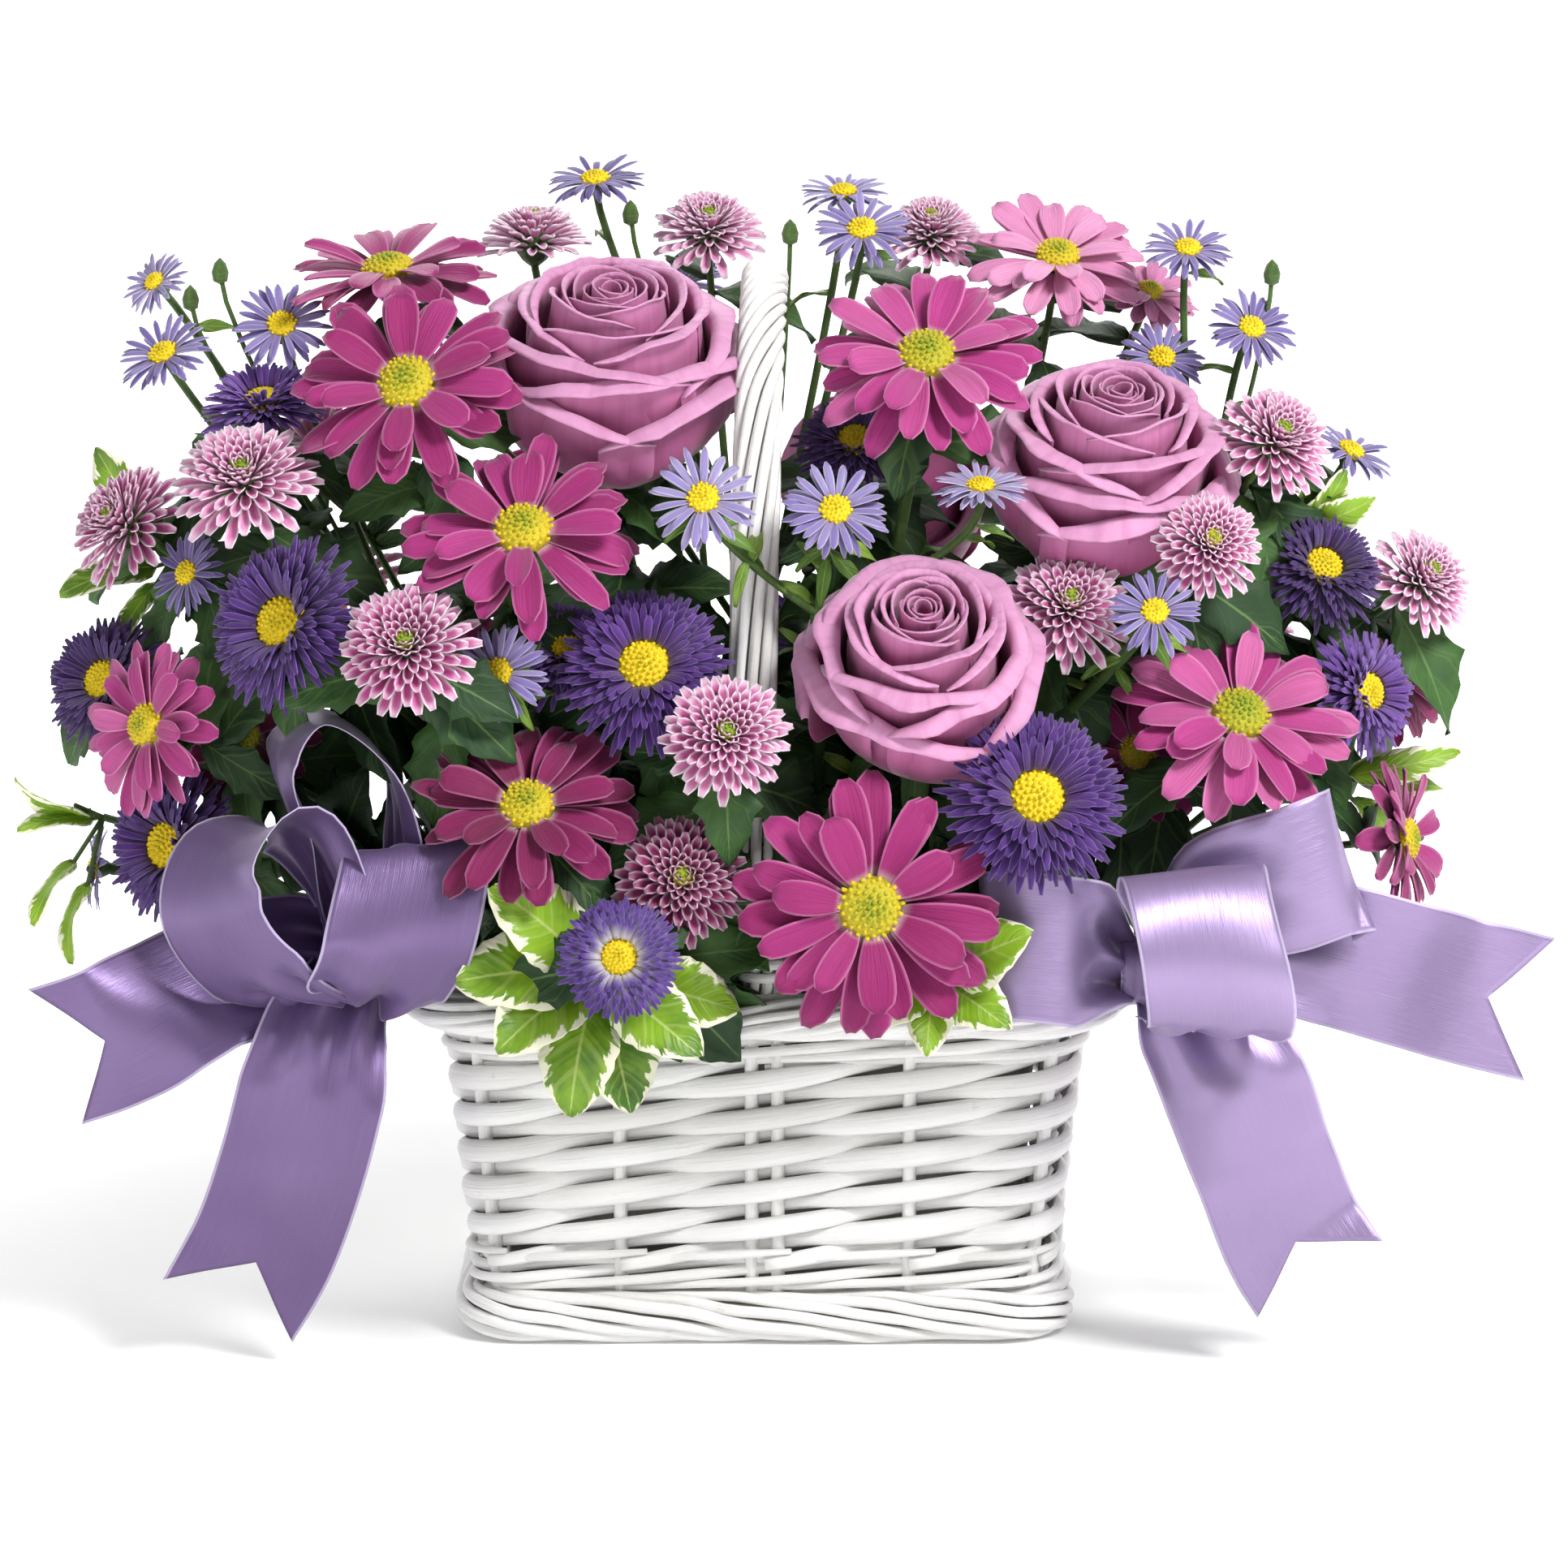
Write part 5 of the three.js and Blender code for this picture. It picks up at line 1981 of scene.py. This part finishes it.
        # The core is in the dark willow: painted shade in the gaps between the rods.
        work.rod(60, lambda t: through(spots, t), lambda t: (self.HANDLE_CORE,) * 2, 0.0, painted_shade_coat, 8)
        for sign in (-1, 1):
            for turn in range(self.BINDINGS):
                middle = Vector((0, sign * 62.3, 105.5 + 2.9 * turn))

                def ring(t: float) -> Vector:
                    """A point of one turn of the binding."""
                    angle = math.tau * t
                    return middle + Vector((math.cos(angle), math.sin(angle), 0.1 * turn)) * 7.2

                shade = rng.uniform(0.5, 1.0)
                work.rod(28, ring, lambda t: (1.45, 1.0), shade, painted, 6, lambda t: UP)

    def made(self, finishes: Finishes) -> list[bpy.types.Object]:
        """Builds the basket's pieces, and dresses the liner and the foam.

        Args:
            finishes: the finishes to dress them in.

        Returns:
            The wall, the rim, the foot, the base and the handle.
        """
        rng = random.Random("basket")
        # The borders and the handle take the dark willow, painted shade, for their cores.
        bordered = (finishes.willow, finishes.painted_shade_core)
        wall = Workpiece()
        self.upright(wall, rng)
        self.weave(wall, self.randing, rng)
        for band in self.waling:
            self.weave(wall, band, rng)
        pieces = [wall.finished("woven_wall", (finishes.willow,), "willow", "basket_wall")]
        for name, rope, node in (
            ("woven_rim", self.rim, "rim_border"), ("woven_foot", self.foot, "foot_border")
        ):
            work = Workpiece()
            self.border(work, rope, rng)
            pieces.append(work.finished(name, bordered, "willow", node))
        base = Workpiece()
        self.base(base, rng)
        pieces.append(base.finished("woven_base", (finishes.willow,), "willow", "basket_base"))
        handle = Workpiece()
        self.handle(handle, rng)
        pieces.append(handle.finished("twisted_handle", bordered, "willow", "handle"))
        redressed("liner", finishes.liner)
        redressed("floral_foam", finishes.foam)
        return pieces


# ---------- what goes where


def flowers() -> list[Spray]:
    """Every spray, with its heads where the CAD has them."""
    rose, daisy, button, china, small = (
        RoseHead, DaisyHead, ButtonHead, ChinaAsterHead, SmallAsterHead
    )
    return [
        Spray("rose_left", [rose(-42, -30, 278, 66, 4, 44)], collar=16,
            reaching=[(-10, -32, 224), (-6, -28, 206), (-20, -36, 200)]),
        Spray("rose_right", [rose(95, -45, 252, 64, 12, 37)], collar=10,
            reaching=[(60, -36, 222), (52, -32, 206), (122, -40, 214)]),
        Spray("rose_middle", [rose(42, -88, 201, 50, 0, 35)], root=(24, -26, 104)),
        Spray("daisy_left_high", [daisy(-64, -78, 229, 46, 0, 34, 0.45)],
            fork=(-78, -44, 190)),
        Spray("daisy_left_top",
            [daisy(-96, -56, 266, 35, -12, 34, 0.42), daisy(-104, -12, 293, 75, -10, 31, 0.45)],
            reaching=[(-116, -42, 228), (-100, -46, 214), (-84, -40, 240)]),
        Spray("daisy_low_left", [daisy(-63, -92, 157, 45, 0, 32, 0.14)]),
        Spray("daisy_low_middle", [daisy(28, -108, 133, 8, 5, 37, 0.38)]),
        Spray("daisy_high_middle", [daisy(44, -48, 273, 45, 0, 33, 0.6)]),
        Spray("daisy_top_right",
            [daisy(82, 10, 295, 55, 5, 27, 0.95), daisy(108, 12, 285, 60, 30, 16, 0.9)]),
        Spray("daisy_right",
            [daisy(128, -70, 178, 45, 15, 34, 0.62), daisy(102, -50, 164, 30, 0, 22, 0.2)],
            root=(50, -20, 104), reaching=[(124, -50, 148), (112, -52, 138)]),
        Spray("daisy_far_left",
            [daisy(-167, -62, 174, 15, -40, 25, 0.62), daisy(-144, -34, 166, 20, -10, 21, 0.02)],
            root=(-50, -20, 104)),
        Spray("daisy_far_right",
            [daisy(177, -36, 138, 10, 70, 25, 0.45), daisy(176, -10, 180, 25, 50, 21, 0.25)],
            root=(56, -6, 102)),
        Spray("button_left",
            [button(-140, -60, 241, 45, -5, 21, 0.85), button(-176, -35, 226, 30, -45, 19, 0.6)],
            root=(-44, -4, 104), reaching=[(-160, -30, 198), (-124, -36, 206)]),
        Spray("button_front_left", [button(-94, -98, 201, 30, -5, 19.5, 0.6)]),
        Spray("button_front_middle",
            [button(-10, -102, 178, 25, 5, 18, 0.75), button(-22, -94, 138, 20, 5, 19, 0.05)]),
        Spray("button_front_right", [button(82, -64, 207, 35, 5, 19, 0.85)],
            root=(30, -20, 104), collar=12, reaching=[(58, -48, 196), (104, -56, 186)]),
        Spray("button_right",
            [button(139, -45, 250, 40, 25, 18, 0.8), button(119, -72, 225, 25, 10, 16, 0.75),
             button(182, -25, 209, 35, 35, 17, 0.95)],
            root=(50, -10, 104)),
        Spray("button_top",
            [button(-65, 15, 301, 85, 0, 17, 1.0), button(-16, 28, 302, 55, 0, 17, 1.0),
             button(47, 30, 301, 60, 0, 16, 0.95)]),
        Spray("china_aster_left",
            [china(-129, -75, 204, 20, -35, 24, 0.45), china(-138, -26, 258, 70, -20, 18, 1.0)]),
        Spray("china_aster_middle",
            [china(-32, -80, 193, 30, 0, 23.5, 0.55), china(-54, -60, 194, 50, 0, 17, 0.6)]),
        Spray("china_aster_front_right",
            [china(72, -101, 161, 25, 10, 25, 0.5)], root=(36, -30, 104)),
        Spray("china_aster_far_left",
            [china(-164, -46, 138, 10, -40, 22, 0.45), china(-182, -35, 182, 25, -30, 19, 0.2)],
            root=(-56, -26, 104),
            reaching=[(-108, -50, 160), (-96, -48, 150), (-118, -44, 142), (-138, -46, 152)]),
        Spray("china_aster_low_front", [china(-38, -116, 121, 20, 0, 16.5, 0.7)],
            pale_heels=True),
        Spray("china_aster_right",
            [china(165, -42, 180, 15, 45, 18, 0.9), china(153, -38, 214, 40, 20, 18, 0.2)],
            root=(56, -16, 104), reaching=[(160, -36, 142), (146, -36, 200), (150, -30, 164)]),
        Spray("china_aster_high_middle", [china(25, -25, 247, 50, 0, 17, 0.3)],
            collar=12, reaching=[(4, -38, 216), (10, -30, 236)]),
        Spray("small_aster_left",
            [small(-167, -10, 270, 50, -30, 14, 0.45), small(-133, -20, 279, 40, 0, 14, 0.5),
             small(-170, 0, 289, 40, -40, 10, 0.7), small(-157, -50, 214, 20, -40, 12, 0.15)],
            root=(-46, 4, 104), greens=10, collar=5, buds=[(-151, -8, 292), (-160, -2, 284)]),
        Spray("small_aster_middle",
            [small(-16, -88, 239, 35, 0, 15, 0.75), small(19, -80, 235, 35, 5, 15, 0.6),
             small(58, -70, 240, 70, 0, 13, 0.75)],
            root=(16, -20, 104), fork=(14, -72, 206), greens=6),
        Spray("small_aster_front_right",
            [small(104, -82, 208, 35, 10, 13, 0.5)], root=(44, -14, 104),
            fork=(80, -52, 174)),
        Spray("small_aster_front_left", [small(-71, -85, 192, 20, -5, 14, 0.6)]),
        Spray("small_aster_top",
            [small(27, -5, 304, 50, 0, 14, 0.55), small(22, 15, 313, 75, 0, 13, 0.5),
             small(-48, 25, 316, 70, -10, 14, 0.1)],
            greens=10, collar=5, buds=[(7, 2, 302), (-38, 22, 306)]),
        Spray("small_aster_right",
            [small(117, -10, 299, 60, 10, 13, 0.4), small(134, -20, 278, 45, 20, 13, 0.4),
             small(110, -12, 269, 45, 10, 13, 0.5), small(162, -20, 244, 60, 50, 13, 0.4)],
            root=(46, 2, 104), fork=(120, -22, 208), greens=10, collar=5,
            buds=[(140, -14, 292)]),
        Spray("small_aster_far_left",
            [small(-188, -16, 126, 5, -85, 12, 0.5)], root=(-56, 2, 100)),
        Spray("rose_back", [rose(38, 68, 236, 45, 178, 35)], root=(10, 26, 104)),
        Spray("daisy_back_left",
            [daisy(-52, 72, 234, 40, 195, 33, 0.6), daisy(-100, 82, 160, 25, 205, 32, 0.4)]),
        Spray("daisy_back_right",
            [daisy(97, 58, 232, 40, 155, 30, 0.75), daisy(98, 84, 158, 25, 155, 32, 0.5)]),
        Spray("button_back_left",
            [button(-130, 35, 240, 45, 230, 20, 0.8), button(-125, 68, 198, 35, 215, 20, 0.55)]),
        Spray("button_back_right",
            [button(138, 30, 232, 45, 130, 20, 0.6), button(140, 60, 186, 35, 140, 19, 0.8)]),
        Spray("china_aster_back",
            [china(16, 96, 172, 25, 180, 24, 0.5), china(-48, 100, 138, 15, 185, 21, 0.35),
             china(50, 100, 138, 15, 175, 21, 0.6)],
            root=(22, 12, 104), fork=(14, 82, 128)),
        Spray("small_aster_back",
            [small(-25, 64, 284, 55, 190, 14, 0.6), small(52, 58, 276, 55, 170, 14, 0.5),
             small(-100, 52, 270, 60, 215, 13, 0.5)],
            greens=9),
    ]


def sprigs() -> list[Sprig]:
    """Every sprig of cream-edged leaves, where the CAD has it."""
    return [
        Sprig("leaves_front_left", (-45, -90, 112), (20, 0),
            [(-72, -104, 138, 28), (-82, -98, 111, 31), (-71, -108, 94, 28), (-52, -102, 75, 28),
             (-36, -98, 75, 26), (-17, -106, 92, 26), (-7, -98, 103, 24)], width=0.72, tone=0.6),
        Sprig("leaves_front_right", (46, -86, 109), (20, 10),
            [(71, -104, 125, 24), (65, -104, 99, 22), (43, -100, 91, 18), (28, -98, 100, 18)],
            width=0.7, tone=0.75),
        Sprig("leaves_far_left", (-184, -30, 143), (20, -40),
            [(-205, -50, 157, 24), (-206, -44, 142, 20), (-201, -54, 117, 20),
             (-192, -46, 105, 20)], root=(-56, -8, 102), width=0.36, tone=0.9),
        Sprig("leaves_high_left", (-166, -12, 212), (20, -30),
            [(-186, -10, 244, 28), (-196, -20, 204, 24), (-180, -22, 190, 18)],
            root=(-50, 10, 104), width=0.45, tone=0.4),
        Sprig("leaves_high_right", (146, -24, 222), (20, 30),
            [(160, -30, 240, 18), (168, -30, 232, 18), (150, -28, 244, 16)],
            root=(52, -2, 104), width=0.5, tone=0.7),
        Sprig("leaves_far_right", (160, -8, 150), (20, 50),
            [(196, -5, 157, 28), (192, 2, 145, 24), (180, 6, 128, 20)],
            root=(56, 6, 102), width=0.36, tone=0.7),
        Sprig("leaves_back_left", (-70, 74, 130), (20, 200),
            [(-90, 92, 110, 26), (-60, 98, 104, 26), (-112, 84, 128, 30), (-40, 92, 116, 24)],
            root=(-34, 28, 104)),
        Sprig("leaves_back_right", (72, 74, 130), (20, 160),
            [(90, 92, 110, 26), (60, 98, 104, 26), (114, 84, 128, 30), (34, 92, 116, 24)],
            root=(34, 28, 104)),
    ]


def bows() -> list[Bow]:
    """The two bows, with their knots and tails where the CAD has them."""
    cut = Strip.NOTCH
    return [
        Bow("left_bow", (-108, -72, 110), [
            Strip([(-113, -70, 113, -0.1, 0.9, 0.2, 0.4), (-125, -72, 146, -0.35, 0.9, 0.2, 0.9),
                (-131, -72, 168, -0.3, 0.93, 0.05, 1), (-119, -70, 179, -0.12, 0.97, -0.05, 1),
                (-104, -69, 168, -0.12, 0.97, -0.05, 1), (-98, -70, 144, -0.3, 0.92, 0.1, 0.9),
                (-102, -71, 114, 0, 0.9, 0.3, 0.4)]),
            Strip([(-114, -76, 109, -0.3, 0.9, 0.1, 0.45), (-117, -84, 134, -0.6, 0.75, -0.15, 0.9),
                (-128, -88, 150, -0.75, 0.6, -0.25, 1), (-143, -91, 144, -0.75, 0.6, -0.25, 1),
                (-147, -93, 127, -0.75, 0.6, -0.3, 1), (-135, -90, 110, -0.65, 0.6, -0.4, 1),
                (-114, -78, 102, -0.3, 0.9, -0.3, 0.5)]),
            Strip([(-107, -79, 101, 0.6, 0.3, -0.5, 0.5), (-104, -92, 107, 0.93, 0.1, -0.1, 0.95),
                (-98, -101, 119, 0.93, 0.1, 0.2, 1), (-94, -100, 134, 0.93, 0.1, 0.25, 1),
                (-92, -91, 147, 0.93, 0.1, 0.2, 1), (-95, -79, 142, 0.85, 0.1, 0.2, 0.9),
                (-101, -71, 113, 0.2, 0.3, 0.4, 0.4)]),
        ], [
            Strip([(-112, -72, 110, 0.3, -0.2, -0.9, 0.6), (-127, -71, 111, 0.45, -0.2, -0.85, 0.9),
                (-148, -73, 106, 0.6, -0.4, -0.65, 1), (-161, -78, 100, 0.47, -0.4, -0.77, 1),
                (-176, -82, 92, 0.41, 0, -0.91, 1), (-192, -80, 86, 0.49, 0, -0.87, 1)], cut),
            Strip([(-112, -74, 106, 0.9, 0.2, 0, 0.6), (-118, -81, 95, 1, 0.05, -0.1, 0.85),
                (-122, -86, 78, 1, 0, -0.1, 1), (-128, -86, 56, 1, 0, -0.15, 1),
                (-136, -84, 34, 1, 0, -0.15, 1), (-146, -84, 16, 0.96, 0.19, -0.19, 1)], cut),
        # the left bow's low tone is painted shade
        ], tone=0.08),
        Bow("right_bow", (103, -75, 109), [
            Strip([(98, -78, 109, 0, 0.3, 0.9, 0.5), (86, -92, 117, 0.1, 0.15, 1, 1),
                (70, -97, 120, 0.1, 0.1, 1, 1), (57, -91, 119, 0.05, 0.1, 1, 1),
                (60, -82, 117, 0, 0.05, 1, 1), (80, -77, 114, 0, 0.1, 1, 0.9),
                (98, -74, 109, 0, 0.3, 0.9, 0.5)]),
            Strip([(110, -76, 114, 0.9, 0.3, 0.1, 0.5), (113, -86, 136, 0.95, 0.3, 0, 1),
                (114, -99, 141, 0.95, 0.3, 0, 1), (116, -109, 133, 0.95, 0.3, -0.05, 1),
                (119, -113, 117, 0.95, 0.28, -0.1, 1), (121, -106, 100, 0.95, 0.25, -0.15, 1),
                (113, -82, 96, 0.9, 0.2, 0, 0.7)]),
            Strip([(110, -77, 113, -0.2, 0.2, 0.9, 0.5), (124, -84, 130, -0.25, 0.1, 0.96, 0.95),
                (142, -86, 136, -0.24, 0, 0.97, 1), (155, -82, 140, -0.24, 0, 0.97, 1),
                (158, -74, 139, -0.24, 0, 0.97, 1), (148, -66, 131, -0.2, 0.1, 0.97, 1),
                (110, -71, 110, -0.1, 0.3, 0.9, 0.5)]),
        ], [
            Strip([(108, -74, 109, -0.1, -0.3, -0.9, 0.6), (138, -68, 115, -0.1, -0.3, -0.95, 0.95),
                (157, -71, 112, -0.1, 0, -1, 1), (174, -70, 107, -0.18, 0, -0.98, 1),
                (190, -73, 103, -0.1, 0, -0.99, 1), (211, -70, 97, -0.16, -0.28, -0.95, 1)], cut),
            Strip([(111, -76, 106, 0.9, 0.2, 0.1, 0.6), (117, -82, 96, 0.98, 0.05, 0.15, 0.85),
                (127, -87, 79, 0.99, 0, 0.17, 1), (135, -86, 58, 0.94, 0.25, 0.17, 1),
                (143, -83, 38, 0.93, 0.2, 0.28, 1), (151, -84, 25, 0.92, 0, 0.4, 1)], cut),
        # the right bow's higher tone is painted light
        ], tone=0.62),
    ]


# ---------- the studio


@dataclass(frozen=True)
class Lamp:
    """A soft studio light: where it is, how wide it is, and how bright."""

    name: str
    spot: Spot
    size: float
    watts: float


@dataclass
class Studio:
    """The floor, the light and the camera. Metres."""

    target: Spot = (0.0053, 0.0, 0.147)
    distance: float = 1.5
    elevation: float = 10.0
    lens: float = 121.5
    sensor: float = 36.0
    surroundings: float = 0.28
    lamps: tuple[Lamp, ...] = (
        Lamp("key", (1.0, -1.1, 1.5), 0.6, 39),
        Lamp("fill", (-1.3, -1.3, 0.6), 0.9, 5),
        Lamp("back", (-0.2, 1.3, 1.4), 0.8, 12),
    )

    def camera(self) -> None:
        """Adds the camera, at the photograph's angle."""
        data = bpy.data.cameras.new("camera")
        data.sensor_width, data.lens = self.sensor, self.lens
        camera = linked("camera", data)
        tilt = math.radians(self.elevation)
        back = Vector((0, -math.cos(tilt), math.sin(tilt))) * self.distance
        camera.matrix_world = stand(Vector(self.target) + back, back)
        bpy.context.scene.camera = camera

    def light(self) -> None:
        """Adds the lamps and the white surroundings."""
        for lamp in self.lamps:
            data = bpy.data.lights.new(lamp.name, "AREA")
            data.shape, data.size, data.energy = "DISK", lamp.size, lamp.watts
            spot = Vector(lamp.spot)
            linked(lamp.name, data).matrix_world = stand(spot, spot - Vector(self.target))
        world = bpy.data.worlds.new("surroundings")
        bpy.context.scene.world = world
        world.use_nodes = True
        colour, strength = world.node_tree.nodes["Background"].inputs[:2]
        colour.default_value, strength.default_value = (1, 1, 1, 1), self.surroundings
        view = bpy.context.scene.view_settings
        view.view_transform, view.look = "Standard", "None"

    def floor(self) -> None:
        """Adds the near-white floor, which sweeps up into a white backdrop and glows with painted
        light away from the basket.
        """
        work = Workpiece()
        front, turn, radius, far = -4000, 2500, 1500, 9000

        def bend(u: float, v: float) -> Vector:
            """A point of the sweep."""
            walked = mixed(front, far, u)
            angle = min(max(walked - turn, 0) / radius, math.pi / 2)
            climbed = max(walked - turn - radius * math.pi / 2, 0)
            y = min(walked, turn) + radius * math.sin(angle)
            return Vector((v * 6000, y, radius * (1 - math.cos(angle)) + climbed))

        work.sheet(60, 1, bend)
        look = Look("sweep")
        away = look.node("ShaderNodeVectorMath", {"operation": "LENGTH"}, {0: look.place()}, 1)
        grain = look.mottle(look.place(), 40)
        glowing_floor = look.dress(
            Base_Color=look.blend(grain, (0.86, 0.86, 0.86), (0.9, 0.9, 0.9)),
            Roughness=0.8,
            # Painted light: the floor glows, dimly within 0.12 m of the middle and rising to full
            # white by 0.6 m, so the far floor fades into the white backdrop.
            Emission_Color=look.blend(look.step(away, 0.12, 0.6), (0.12, 0.12, 0.12), (1, 1, 1)),
            Emission_Strength=0.9,
        )
        linked("sweep", work.mesh("sweep", (glowing_floor,)))


def main() -> None:
    """Builds the studio, the basket, the flowers, the leaves and the bows, in that order."""
    logging.basicConfig(level=logging.INFO, format="%(message)s")
    studio = Studio()
    studio.camera()
    studio.light()
    studio.floor()
    finishes = Finishes()
    pieces = Basket().made(finishes)
    for group in (flowers(), sprigs(), bows()):
        pieces += [member.made(finishes) for member in group]
    for piece in pieces:
        LOG.info("%s: %d faces", piece.name, len(piece.data.polygons))


if __name__ == "__main__":
    main()
